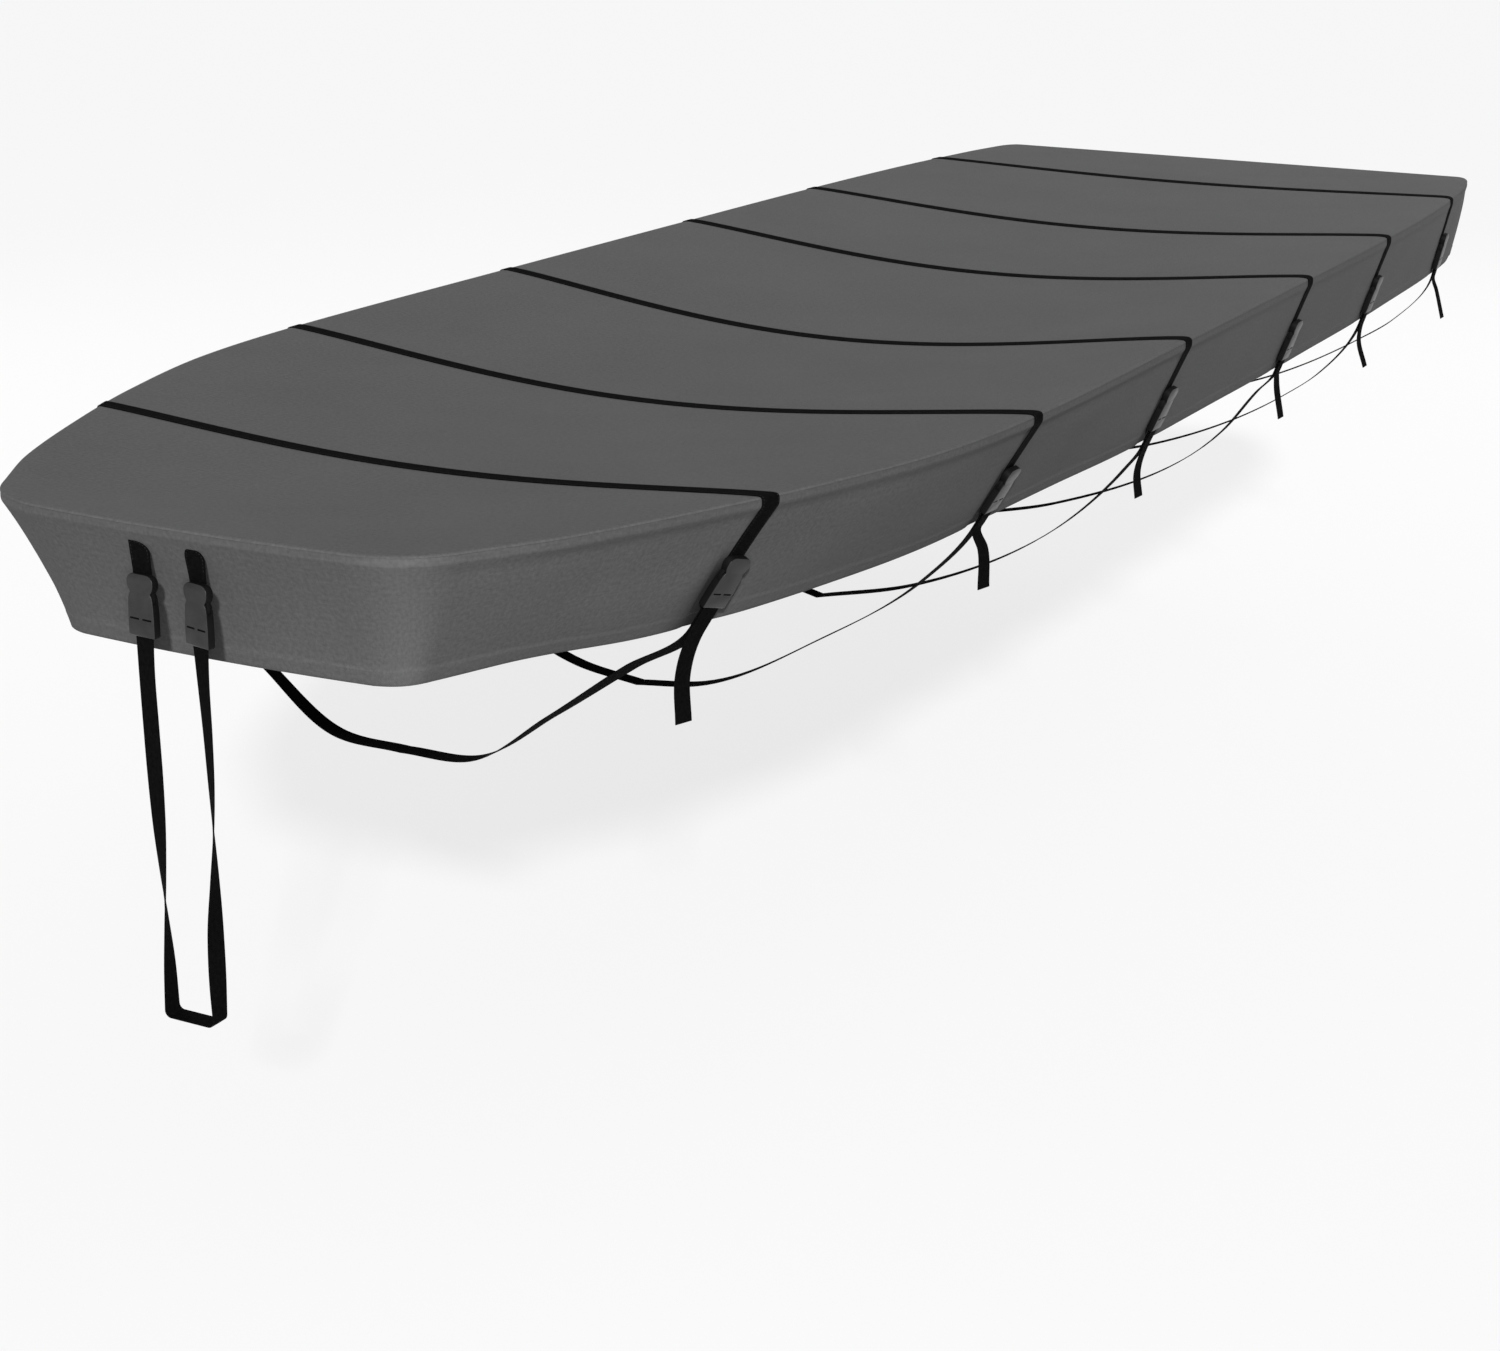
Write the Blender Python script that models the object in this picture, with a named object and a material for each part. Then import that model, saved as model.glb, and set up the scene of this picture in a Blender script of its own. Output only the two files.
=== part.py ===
"""Fitted tie-down cover of a blunt-bowed jon boat, with the boat left out.

The bow points along -Y, port is +X and +Z is up. The origin lies under the middle of the top,
where the boat would carry the cloth. Heights called rise are measured from the gunwale line,
and the cloth hangs from it as ribs: each rib runs from the spine over the rolled edge to the hem.
"""
import math
from collections import namedtuple

import bmesh
import bpy
from mathutils import Vector

# ---- driving dimensions, metres ----
LENGTH = 4.27
CLOTH = 0.002
SEAM_GAP = 0.0005
LIE_GAP = 0.0005
WEBBING = 0.0016
WEB_WIDTH = 0.030
EDGE_DEPTH_BASE = 0.006
EDGE_DEPTH_SLOPE = 0.35
SEAM_ANGLE = math.radians(24)
BOW_FLAT = 0.235
BOW_BULGE = 0.010
BOW_LEAN = 0.070
TRANSOM_FLAT = 0.570
TRANSOM_LEAN = 0.018
SIDE_START = -2.047
SIDE_END = 2.060
SPINE_BOW = -1.625
SPINE_STERN = 1.865
SAG_POWER = 1.15
SIDE_PITCH = 0.19

# Cloth stations along the boat: half breadth at the gunwale, how far the hem leans in, how far
# the hem drops, how far the top sags in the middle, how wide the edge rolls over, how far a rib
# rakes forward as it goes down (slope of its run in plan) and how hollow the skirt hangs.
Station = namedtuple("Station", "y breadth lean drop sag roll rake hollow")
STATIONS = (
    Station(-2.047, 0.359, 0.087, 0.189, 0.023, 0.012, 0.00, 0.35),
    Station(-1.914, 0.434, 0.101, 0.185, 0.025, 0.012, 0.00, 0.30),
    Station(-1.706, 0.519, 0.101, 0.185, 0.028, 0.012, 0.18, 0.20),
    Station(-1.503, 0.589, 0.099, 0.184, 0.034, 0.012, 0.19, 0.12),
    Station(-1.240, 0.654, 0.099, 0.181, 0.046, 0.012, 0.06, 0.05),
    Station(-0.927, 0.680, 0.096, 0.180, 0.055, 0.013, 0.00, 0.05),
    Station(-0.265, 0.684, 0.073, 0.186, 0.066, 0.015, 0.00, 0.05),
    Station(0.488, 0.684, 0.060, 0.185, 0.052, 0.018, 0.00, 0.05),
    Station(1.016, 0.682, 0.053, 0.183, 0.038, 0.022, 0.00, 0.05),
    Station(1.527, 0.668, 0.042, 0.180, 0.021, 0.025, 0.00, 0.05),
    Station(1.921, 0.638, 0.030, 0.181, 0.008, 0.025, 0.00, 0.05),
    Station(2.060, 0.616, 0.028, 0.183, 0.006, 0.018, 0.00, 0.05),
)

# Hull straps, port side in metres: where each crosses the boat, then the points (out from the
# middle, rise) at the chine, bilge and keel and the rise under the middle, then the same for the
# middle and end of its free tail with the angle the tail turns towards the bow.
Strap = namedtuple("Strap", "y chine bilge keel keel_rise tail_mid tail_end tail_turn")
STRAPS = (
    Strap(-1.6055, (0.366, -0.257), (0.243, -0.347), (0.118, -0.430), -0.437,
          (0.438, -0.264), (0.440, -0.330), 20),
    Strap(-0.9527, (0.499, -0.286), (0.330, -0.404), (0.115, -0.514), -0.530,
          (0.599, -0.219), (0.603, -0.282), 14),
    Strap(-0.2617, (0.583, -0.239), (0.503, -0.327), (0.183, -0.508), -0.553,
          (0.606, -0.243), (0.611, -0.286), 6),
    Strap(0.4750, (0.594, -0.234), (0.530, -0.320), (0.183, -0.513), -0.558,
          (0.632, -0.206), (0.646, -0.281), 3),
    Strap(1.0760, (0.551, -0.308), (0.477, -0.365), (0.183, -0.508), -0.553,
          (0.634, -0.222), (0.652, -0.282), 0),
    Strap(1.7450, (0.542, -0.295), (0.461, -0.352), (0.173, -0.492), -0.532,
          (0.637, -0.217), (0.656, -0.281), 0),
)
STRAP_RAKE_AT_CHINE = -0.035
STRAP_RAKE_AT_KEEL = -0.042

TOP_STEPS = (0.0, 0.22, 0.42, 0.60, 0.75, 0.87, 0.95, 1.0)
SKIRT_STEPS = (0.0, 0.17, 0.34, 0.49, 0.66, 0.84, 1.0)
ROLL_STEPS = 3
STRAP_END_STEP = 3

# ---- buckles: half width at each distance down from the upper end ----
BUCKLE_LENGTH = 0.082
BUCKLE_THICK = 0.012
BUCKLE_CHAMFER = 0.0022
BUCKLE_TOP_THICK = 0.008
BUCKLE_LIFT = WEBBING + 2.2 * LIE_GAP
BUCKLE_TOP_RISE = -0.083
BuckleRow = namedtuple("BuckleRow", "down half_width thick")
BUCKLE_ROWS = (
    BuckleRow(0.000, 0.0160, BUCKLE_TOP_THICK),
    BuckleRow(0.004, 0.0200, 0.010),
    BuckleRow(0.010, 0.0218, BUCKLE_THICK),
    BuckleRow(0.018, 0.0216, BUCKLE_THICK),
    BuckleRow(0.025, 0.0186, BUCKLE_THICK),
    BuckleRow(0.032, 0.0192, BUCKLE_THICK),
    BuckleRow(0.042, 0.0212, BUCKLE_THICK),
    BuckleRow(0.060, 0.0220, BUCKLE_THICK),
    BuckleRow(BUCKLE_LENGTH, 0.0216, BUCKLE_THICK),
)
MOUTH_DEPTH = 0.012
MOUTH_HALF_WIDTH = WEB_WIDTH / 2 + 0.0008
MOUTH_LOW = 0.0028
MOUTH_HIGH = 0.0092
MOUTH_CHAMFER = 0.0006
FOLD_IN = 0.008
FOLD_RADIUS = 0.0019
FOLD_STEPS = 6
HEM_PASS = 0.006
HEM_RUN = 0.010
WEB_MIDDLE = (MOUTH_LOW + MOUTH_HIGH) / 2

# ---- bow tabs, buckles and the loop round the trailer's tongue, hanging plumb at the bow ----
# Each leg of the loop: where its buckle hangs across the boat and how far it is turned, where the
# tab's middle lies at its top and at the buckle, how much of the tab's half width its two top
# corners take off, then the leg's way down as (rise, across the boat, degrees turned).
Leg = namedtuple("Leg", "side x yaw tab_top tab_low starboard_cut port_cut way")
LEGS = (
    Leg("starboard", -0.0600, math.radians(5), -0.0695, -0.0660, 0.0, 1.6,
        ((-0.190, -0.0608, 10), (-0.265, -0.0585, 10), (-0.334, -0.0561, 11), (-0.400, -0.0540, 19),
         (-0.470, -0.0520, 38), (-0.540, -0.0500, 62), (-0.600, -0.0485, 81), (-0.655, -0.0480, 90))),
    Leg("port", 0.0285, math.radians(13), 0.0168, 0.0200, 0.35, 0.9,
        ((-0.190, 0.0280, 23), (-0.265, 0.0315, 31), (-0.334, 0.0332, 39), (-0.390, 0.0332, 51),
         (-0.460, 0.0315, 73), (-0.533, 0.0292, 95), (-0.600, 0.0292, 99), (-0.655, 0.0300, 90))),
)
TAB_WIDTH = 0.032
TAB_TOP_RISE = -0.0255
TAB_ROUND = 0.013
TAB_STEPS = 5
TAB_TUCK = 0.018
BOW_BUCKLE_TOP_RISE = -0.065
LOOP_IN = 0.010
LOOP_CORNER = 0.009
LEG_STEPS = 3
CORNER_STEPS = 4

GREY_CLOTH = ("polyester", (0.105, 0.105, 0.105, 1.0), 0.85)
BLACK_WEBBING = ("webbing", (0.012, 0.012, 0.012, 1.0), 0.75)
DARK_PLASTIC = ("buckle_plastic", (0.055, 0.055, 0.057, 1.0), 0.45)


def station_value(y, column):
    """Smooth value of one station column at y, held level past both ends."""
    rows = STATIONS
    y = min(max(y, rows[0].y), rows[-1].y)
    i = max(k for k in range(len(rows) - 1) if rows[k].y <= y)
    value = [getattr(row, column) for row in rows]
    slope = []
    for k in (i, i + 1):
        low = max(k - 1, 0)
        high = min(k + 1, len(rows) - 1)
        slope.append((value[high] - value[low]) / (rows[high].y - rows[low].y))
    span = rows[i + 1].y - rows[i].y
    t = (y - rows[i].y) / span
    return ((2 * t**3 - 3 * t**2 + 1) * value[i] + (t**3 - 2 * t**2 + t) * span * slope[0]
            + (3 * t**2 - 2 * t**3) * value[i + 1] + (t**3 - t**2) * span * slope[1])


GUNWALE_Z = station_value(0.0, "sag") + CLOTH


def smooth(t):
    t = min(max(t, 0.0), 1.0)
    return t * t * (3 - 2 * t)


def mix(a, b, t):
    return a + (b - a) * t


# ---- ribs: where the cloth's grid lines leave the spine, cross the gunwale and hang ----
Rib = namedtuple("Rib", "x y out_x out_y spine lean drop roll hollow")


def make_rib(x, y, out_x, out_y, lean):
    size = math.hypot(out_x, out_y)
    spine = min(max(y, SPINE_BOW), SPINE_STERN)
    return Rib(x, y, out_x / size, out_y / size, spine, lean,
               station_value(y, "drop"), station_value(y, "roll"), station_value(y, "hollow"))


def bow_line(x):
    return -LENGTH / 2 + BOW_BULGE * (x / BOW_FLAT) ** 2


def side_slope(y):
    step = 0.002
    low = max(y - step, STATIONS[0].y)
    high = min(y + step, STATIONS[-1].y)
    return (station_value(high, "breadth") - station_value(low, "breadth")) / (high - low)


def side_rib(y):
    """A rib on the side: square to the outline at the corners, straight across between them."""
    square = 1 - smooth((y - SIDE_START) / (STRAPS[0].y - 0.07 - SIDE_START))
    square += smooth((y - STRAPS[-1].y - 0.07) / (SIDE_END - STRAPS[-1].y - 0.07))
    out_y = -side_slope(y) * square + station_value(y, "rake") * (1 - square)
    return make_rib(station_value(y, "breadth"), y, 1.0, out_y, station_value(y, "lean"))


def corner_points(start, start_way, end, end_way, steps):
    """Inner points of a quadratic corner between two straight runs, each with its heading."""
    cross = start_way.x * end_way.y - start_way.y * end_way.x
    gap = end - start
    meet = start + start_way * ((gap.x * end_way.y - gap.y * end_way.x) / cross)
    result = []
    for k in range(1, steps):
        t = k / steps
        point = (1 - t) ** 2 * start + 2 * t * (1 - t) * meet + t * t * end
        heading = (1 - t) * (meet - start) + t * (end - meet)
        result.append((point, heading, t))
    return result


def half_ribs():
    """Ribs of the port half, from the middle of the bow to the middle of the transom."""
    ribs = []
    front_steps = 4
    for k in range(front_steps + 1):
        x = BOW_FLAT * k / front_steps
        rise = 2 * BOW_BULGE * x / BOW_FLAT**2
        ribs.append(make_rib(x, bow_line(x), rise, -1.0, BOW_LEAN))
    bow_way = Vector((1.0, 2 * BOW_BULGE / BOW_FLAT))
    side_way = Vector((side_slope(SIDE_START), 1.0))
    start = Vector((BOW_FLAT, bow_line(BOW_FLAT)))
    end = Vector((station_value(SIDE_START, "breadth"), SIDE_START))
    for point, way, t in corner_points(start, bow_way, end, side_way, 6):
        ribs.append(make_rib(point.x, point.y, way.y, -way.x, mix(BOW_LEAN, STATIONS[0].lean, t)))
    for y in side_places():
        ribs.append(side_rib(y))
    start = Vector((station_value(SIDE_END, "breadth"), SIDE_END))
    end = Vector((TRANSOM_FLAT, LENGTH / 2))
    way = Vector((side_slope(SIDE_END), 1.0))
    for point, heading, t in corner_points(start, way, end, Vector((-1.0, 0.0)), 5):
        lean = mix(STATIONS[-1].lean, TRANSOM_LEAN, t)
        ribs.append(make_rib(point.x, point.y, heading.y, -heading.x, lean))
    stern_steps = 3
    for k in range(stern_steps + 1):
        x = TRANSOM_FLAT * (1 - k / stern_steps)
        ribs.append(make_rib(x, LENGTH / 2, 0.0, 1.0, TRANSOM_LEAN))
    return ribs


def side_places():
    """Side ribs: both edges of every strap, and even steps between them."""
    knots = [SIDE_START]
    for strap in STRAPS:
        knots += [strap.y - WEB_WIDTH / 2, strap.y + WEB_WIDTH / 2]
    knots.append(SIDE_END)
    places = [knots[0]]
    for low, high in zip(knots, knots[1:]):
        steps = max(1, round((high - low) / SIDE_PITCH))
        places += [low + (high - low) * k / steps for k in range(1, steps + 1)]
    return places


# ---- points on the outer face of the cloth, each with its outward normal ----
def edge_depth(rib):
    return EDGE_DEPTH_BASE + EDGE_DEPTH_SLOPE * rib.roll


def place(rib, out, rise):
    return Vector((rib.x + rib.out_x * out, rib.y + rib.out_y * out, GUNWALE_Z + rise))


def face_way(rib, out, rise):
    return Vector((rib.out_x * out, rib.out_y * out, rise)).normalized()


def top_point(rib, t):
    """Sagging top between the spine and the start of the rolled edge."""
    spine = Vector((0.0, rib.spine, 0.0))
    edge = place(rib, -rib.roll, 0.0)
    point = spine.lerp(edge, t)
    sag = station_value(rib.spine, "sag") * max(math.cos(math.pi * t / 2), 0.0) ** SAG_POWER
    point.z = GUNWALE_Z - sag
    return point, Vector((0.0, 0.0, 1.0))


def edge_point(rib, angle):
    """Rolled gunwale edge, from 90 degrees at the top round to the lean of the skirt."""
    depth = edge_depth(rib)
    reach = rib.roll if angle > 0 else depth
    out = reach * (math.cos(angle) - 1)
    rise = depth * (math.sin(angle) - 1)
    return place(rib, out, rise), face_way(rib, math.cos(angle) / reach, math.sin(angle) / depth)


def skirt_angle(rib):
    return -math.atan2((1 + rib.hollow) * rib.lean, rib.drop)


def skirt_point(rib, t):
    """Skirt from the rolled edge to the hem, leaning in and slightly hollow."""
    angle = skirt_angle(rib)
    depth = edge_depth(rib)
    out0 = depth * (math.cos(angle) - 1)
    rise0 = depth * (math.sin(angle) - 1)
    run = -rib.lean - out0
    fall = -rib.drop - rise0
    out = out0 + run * ((1 + rib.hollow) * t - rib.hollow * t * t)
    rise = rise0 + fall * t
    out_rate = run * (1 + rib.hollow - 2 * rib.hollow * t)
    return place(rib, out, rise), face_way(rib, -fall, out_rate)


def top_rows(rib):
    rows = [top_point(rib, t) for t in TOP_STEPS]
    for k in range(1, ROLL_STEPS + 1):
        rows.append(edge_point(rib, mix(math.pi / 2, SEAM_ANGLE, k / ROLL_STEPS)))
    return rows


def skirt_rows(rib):
    start = SEAM_ANGLE - SEAM_GAP / edge_depth(rib)
    rows = [edge_point(rib, mix(start, skirt_angle(rib), k / ROLL_STEPS)) for k in range(ROLL_STEPS)]
    return rows + [skirt_point(rib, t) for t in SKIRT_STEPS]


# ---- mesh building ----
def new_object(name, mesh_data, material):
    mesh = bpy.data.meshes.new(name)
    mesh_data.to_mesh(mesh)
    mesh_data.free()
    mesh.materials.append(material)
    mesh.shade_smooth()
    mesh.set_sharp_from_angle(angle=math.radians(40))
    thing = bpy.data.objects.new(name, mesh)
    bpy.context.collection.objects.link(thing)
    return thing


def principled(name, colour, roughness):
    material = bpy.data.materials.new(name)
    material.use_nodes = True
    shader = material.node_tree.nodes["Principled BSDF"]
    shader.inputs["Base Color"].default_value = colour
    shader.inputs["Roughness"].default_value = roughness
    shader.inputs["Metallic"].default_value = 0.0
    return material


class Sheet:
    """Collects faces over shared points, leaving out the corners that fall together."""

    def __init__(self):
        self.mesh = bmesh.new()
        self.known = {}

    def vertex(self, point):
        key = tuple(round(value, 6) for value in point)
        if key not in self.known:
            self.known[key] = self.mesh.verts.new(point)
        return self.known[key]

    def face(self, points):
        corners = []
        for point in points:
            vertex = self.vertex(point)
            if vertex not in corners:
                corners.append(vertex)
        if len(corners) > 2:
            self.mesh.faces.new(corners)


def mirrored(rows):
    return [(Vector((-p.x, p.y, p.z)), Vector((-n.x, n.y, n.z))) for p, n in rows]


def around(half):
    """Both halves as one closed round: port from bow to stern, then starboard back again."""
    return half + [mirrored(rows) for rows in reversed(half[1:-1])]


def cloth_solid(columns, closed_middle):
    """Closed solid between the outer face in columns and the same face one cloth inside it."""
    outer = [[point for point, _ in rows] for rows in columns]
    inner = [[point - normal * CLOTH for point, normal in rows] for rows in columns]
    sheet = Sheet()
    count = len(columns)
    rows = len(columns[0])
    for i in range(count):
        j = (i + 1) % count
        for k in range(rows - 1):
            sheet.face([outer[i][k], outer[i][k + 1], outer[j][k + 1], outer[j][k]])
            sheet.face([inner[j][k], inner[j][k + 1], inner[i][k + 1], inner[i][k]])
        last = rows - 1
        sheet.face([outer[i][last], inner[i][last], inner[j][last], outer[j][last]])
        if not closed_middle:
            sheet.face([outer[j][0], inner[j][0], inner[i][0], outer[i][0]])
    return sheet.mesh


def band_solid(sections):
    """Closed body through sections of equally many corners, capped at both ends.

    Each side is split along one diagonal, the same one on both faces of a band, so that a
    band that turns on itself keeps its thickness.
    """
    sheet = Sheet()
    corners = len(sections[0])
    for low, high in zip(sections, sections[1:]):
        for k in range(corners):
            m = (k + 1) % corners
            split, others = (low[k], high[m]), (low[m], high[k])
            if k >= corners / 2:
                split, others = others, split
            for corner in others:
                sheet.face([split[0], corner, split[1]])
    sheet.face(list(reversed(sections[0])))
    sheet.face(sections[-1])
    bmesh.ops.recalc_face_normals(sheet.mesh, faces=sheet.mesh.faces)
    return sheet.mesh


def ribbon_sections(path, width):
    """Sections of flat webbing along a path of (point, width direction)."""
    sections = []
    for k, (point, across) in enumerate(path):
        before = path[max(k - 1, 0)][0]
        after = path[min(k + 1, len(path) - 1)][0]
        along = (after - before).normalized()
        side = (across - along * across.dot(along)).normalized() * (width / 2)
        up = along.cross(side).normalized() * (WEBBING / 2)
        sections.append([point - side - up, point + side - up, point + side + up, point - side + up])
    return sections


def curve_through(knots, steps):
    """Smooth curve through (point, width direction) knots, steps to each span."""
    spans = [(b[0] - a[0]).length for a, b in zip(knots, knots[1:])]
    rates = [[(b[m] - a[m]) / span for m in (0, 1)] for a, b, span in zip(knots, knots[1:], spans)]
    last = len(knots) - 1
    tangents = [rates[0]]
    for k in range(1, last):
        share = spans[k - 1] / (spans[k - 1] + spans[k])
        tangents.append([rates[k - 1][m].lerp(rates[k][m], share) for m in (0, 1)])
    tangents.append(rates[-1])
    result = [knots[0]]
    for k in range(last):
        for step in range(1, steps + 1):
            t = step / steps
            pair = []
            for m in (0, 1):
                pair.append(knots[k][m].lerp(knots[k + 1][m], smooth(t))
                            + tangents[k][m] * spans[k] * (t**3 - 2 * t**2 + t)
                            + tangents[k + 1][m] * spans[k] * (t**3 - t**2))
            result.append((pair[0], pair[1].normalized()))
    return result


# ---- buckles and the webbing folded into them ----
class Seat:
    """Where a buckle lies: its upper end, the way down it, the way across it and the way out."""

    def __init__(self, top, down, across, hem):
        self.top = top
        self.hem = hem
        self.down = down.normalized()
        self.out = self.down.cross(across).normalized()
        self.across = self.out.cross(self.down)

    def at(self, down, across, out):
        return self.top + self.down * down + self.across * across + self.out * (BUCKLE_LIFT + out)


def skirt_t_at(rib, rise):
    depth = edge_depth(rib)
    rise0 = depth * (math.sin(skirt_angle(rib)) - 1)
    return (rise - rise0) / (-rib.drop - rise0)


def side_seat(strap):
    rib = side_rib(strap.y)
    high = skirt_t_at(rib, BUCKLE_TOP_RISE)
    top = skirt_point(rib, high)[0]
    low = high
    while (skirt_point(rib, low)[0] - top).length < BUCKLE_LENGTH:
        low += 0.005
    bottom = skirt_point(rib, low)[0]
    fore = skirt_point(side_rib(strap.y - WEB_WIDTH / 2), (high + low) / 2)[0]
    aft = skirt_point(side_rib(strap.y + WEB_WIDTH / 2), (high + low) / 2)[0]
    hem = (skirt_point(rib, 1.0)[0] - top).dot((bottom - top).normalized())
    return Seat(top, bottom - top, aft - fore, hem)


def bow_seat(leg, share=1.0):
    """A bow buckle hangs plumb from where its tab is sewn, with that share of its own turn."""
    near_x = max(abs(leg.tab_top) - TAB_WIDTH / 2, 0.0)
    rib = make_rib(near_x, bow_line(near_x), 0.0, -1.0, BOW_LEAN)
    sewn = skirt_point(rib, skirt_t_at(rib, TAB_TOP_RISE))[0]
    top = Vector((leg.x, sewn.y, GUNWALE_Z + BOW_BUCKLE_TOP_RISE))
    yaw = leg.yaw * share
    return Seat(top, Vector((0.0, 0.0, -1.0)), Vector((math.cos(yaw), -math.sin(yaw), 0.0)), 0.0)


def mirrored_seat(seat):
    """The same seat on the starboard side."""
    flip = Vector((-1.0, 1.0, 1.0))
    return Seat(seat.top * flip, seat.down * flip, -seat.across * flip, seat.hem)


def octagon(seat, down, half_width, low, high, chamfer):
    corners = ((-half_width + chamfer, low), (half_width - chamfer, low),
               (half_width, low + chamfer), (half_width, high - chamfer),
               (half_width - chamfer, high), (-half_width + chamfer, high),
               (-half_width, high - chamfer), (-half_width, low + chamfer))
    return [seat.at(down, across, out) for across, out in corners]


def build_buckle(name, seat, material):
    sections = [octagon(seat, row.down, row.half_width, 0.0, row.thick, BUCKLE_CHAMFER)
                for row in BUCKLE_ROWS]
    for down in (BUCKLE_LENGTH, BUCKLE_LENGTH - MOUTH_DEPTH):
        sections.append(octagon(seat, down, MOUTH_HALF_WIDTH, MOUTH_LOW, MOUTH_HIGH, MOUTH_CHAMFER))
    return new_object(name, band_solid(sections), material)


def fold_points(seat):
    """The turn of the webbing inside a buckle's mouth, from its inner run to its outer run."""
    points = []
    for k in range(FOLD_STEPS + 1):
        angle = math.pi * k / FOLD_STEPS
        down = BUCKLE_LENGTH - FOLD_IN - FOLD_RADIUS * math.sin(angle)
        out = WEB_MIDDLE - FOLD_RADIUS * math.cos(angle)
        points.append((seat.at(down, 0.0, out), seat.across))
    return points


def strap_knot(strap, pair, rake, across):
    out, rise = pair
    return Vector((out, strap.y + rake, GUNWALE_Z + rise)), across.normalized()


def hull_strap_half(index, strap):
    """Port half of a hull strap, from the tip of its tail to the middle of the keel."""
    seat = side_seat(strap)
    foremost = 1.0 if index == 0 else 0.0
    turn = math.radians(strap.tail_turn)
    twisted = Vector((math.sin(turn), math.cos(turn), 0.0))
    lean_y = seat.at(BUCKLE_LENGTH, 0.0, WEB_MIDDLE).y - strap.y
    fold = fold_points(seat)
    below = seat.hem + HEM_PASS
    tail = [strap_knot(strap, strap.tail_end, lean_y, twisted),
            strap_knot(strap, strap.tail_mid, lean_y, (twisted + seat.across)),
            (seat.at(below, 0.0, WEB_MIDDLE + FOLD_RADIUS), seat.across),
            (seat.at(below - HEM_RUN, 0.0, WEB_MIDDLE + FOLD_RADIUS), seat.across), fold[-1]]
    beam = Vector((0.0, 1.0, 0.0))
    chine_rake = lean_y + foremost * (STRAP_RAKE_AT_CHINE - lean_y)
    keel_rake = foremost * STRAP_RAKE_AT_KEEL
    hull = [fold[0], (seat.at(below - HEM_RUN, 0.0, WEB_MIDDLE - FOLD_RADIUS), seat.across),
            (seat.at(below, 0.0, WEB_MIDDLE - FOLD_RADIUS), seat.across),
            strap_knot(strap, strap.chine, chine_rake, seat.across),
            strap_knot(strap, strap.bilge, mix(chine_rake, keel_rake, 0.6), seat.across + beam),
            strap_knot(strap, strap.keel, keel_rake, beam),
            strap_knot(strap, (0.0, strap.keel_rise), keel_rake, beam)]
    tail_run = curve_through(tail, 4)
    hull_run = curve_through(hull, 4)
    return tail_run[:-1] + list(reversed(fold)) + hull_run[1:]


def build_hull_strap(index, strap, material):
    port = hull_strap_half(index, strap)
    starboard = [(Vector((-p.x, p.y, p.z)), Vector((-w.x, w.y, w.z))) for p, w in port[:-1]]
    path = port + list(reversed(starboard))
    return new_object(f"hull_strap_{index + 1}", band_solid(ribbon_sections(path, WEB_WIDTH)), material)


def build_over_strap(index, strap, material):
    """Webbing lying on the cloth from one pair of buckles, over the top, to the other."""
    edges = []
    for side in (-1, 1):
        rib = side_rib(strap.y + side * WEB_WIDTH / 2)
        down = top_rows(rib) + skirt_rows(rib)[1:ROLL_STEPS + 1 + STRAP_END_STEP]
        edges.append(list(reversed(down[1:])) + mirrored(down))
    sections = []
    for (fore, fore_way), (aft, aft_way) in zip(*edges):
        under = LIE_GAP
        over = LIE_GAP + WEBBING
        sections.append([fore + fore_way * under, aft + aft_way * under,
                         aft + aft_way * over, fore + fore_way * over])
    return new_object(f"over_strap_{index + 1}", band_solid(sections), material)


def build_bow_tab(leg, material):
    """Short webbing sewn under the bow's seam: cut round at the top, its end behind the buckle."""
    length = TAB_TOP_RISE - BOW_BUCKLE_TOP_RISE
    half = TAB_WIDTH / 2
    rows = []
    for k in range(TAB_STEPS + 1):
        angle = math.pi / 2 * k / TAB_STEPS
        cut = 1 - math.sin(angle)
        rows.append((TAB_ROUND * (1 - math.cos(angle)) - length,
                     -half * (1 - leg.starboard_cut * cut), half * (1 - leg.port_cut * cut)))
    rows += [(0.0, -half, half), (TAB_TUCK, -half, half)]
    low = LIE_GAP - BUCKLE_LIFT
    high = low + WEBBING
    sections = []
    for down, left, right in rows:
        share = min(down / length + 1.0, 1.0)
        seat = bow_seat(leg, share)
        middle = mix(leg.tab_top, leg.tab_low, share) - leg.x
        sections.append([seat.at(down, middle + left, low), seat.at(down, middle + right, low),
                         seat.at(down, middle + right, high), seat.at(down, middle + left, high)])
    return new_object(f"bow_tab_{leg.side}", band_solid(sections), material)


def leg_path(leg, inward):
    """One leg of the loop, from inside its buckle down to the corner of the bottom run."""
    seat = bow_seat(leg)
    start = seat.at(BUCKLE_LENGTH - LOOP_IN, 0.0, WEB_MIDDLE)
    knots = [(start, seat.across)]
    for rise, x, degrees in leg.way:
        turn = math.radians(degrees)
        knots.append((Vector((x, start.y, GUNWALE_Z + rise)),
                      Vector((math.cos(turn), -math.sin(turn), 0.0))))
    path = curve_through(knots, LEG_STEPS)
    corner, across = path[-1]
    for k in range(1, CORNER_STEPS + 1):
        angle = math.pi / 2 * k / CORNER_STEPS
        way = Vector((inward * (1 - math.cos(angle)), 0.0, -math.sin(angle)))
        path.append((corner + way * LOOP_CORNER, across))
    return path


def build_tongue_loop(material):
    """Webbing hanging plumb from both bow buckles, turning on itself, under the absent tongue."""
    starboard, port = (leg_path(leg, inward) for leg, inward in zip(LEGS, (1.0, -1.0)))
    path = starboard + list(reversed(port))
    return new_object("tongue_loop", band_solid(ribbon_sections(path, WEB_WIDTH)), material)


def build_cover(material):
    half = half_ribs()
    top = around([top_rows(rib) for rib in half])
    skirt = around([skirt_rows(rib) for rib in half])
    new_object("cover_top", cloth_solid(top, closed_middle=True), material)
    new_object("cover_skirt", cloth_solid(skirt, closed_middle=False), material)


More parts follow.
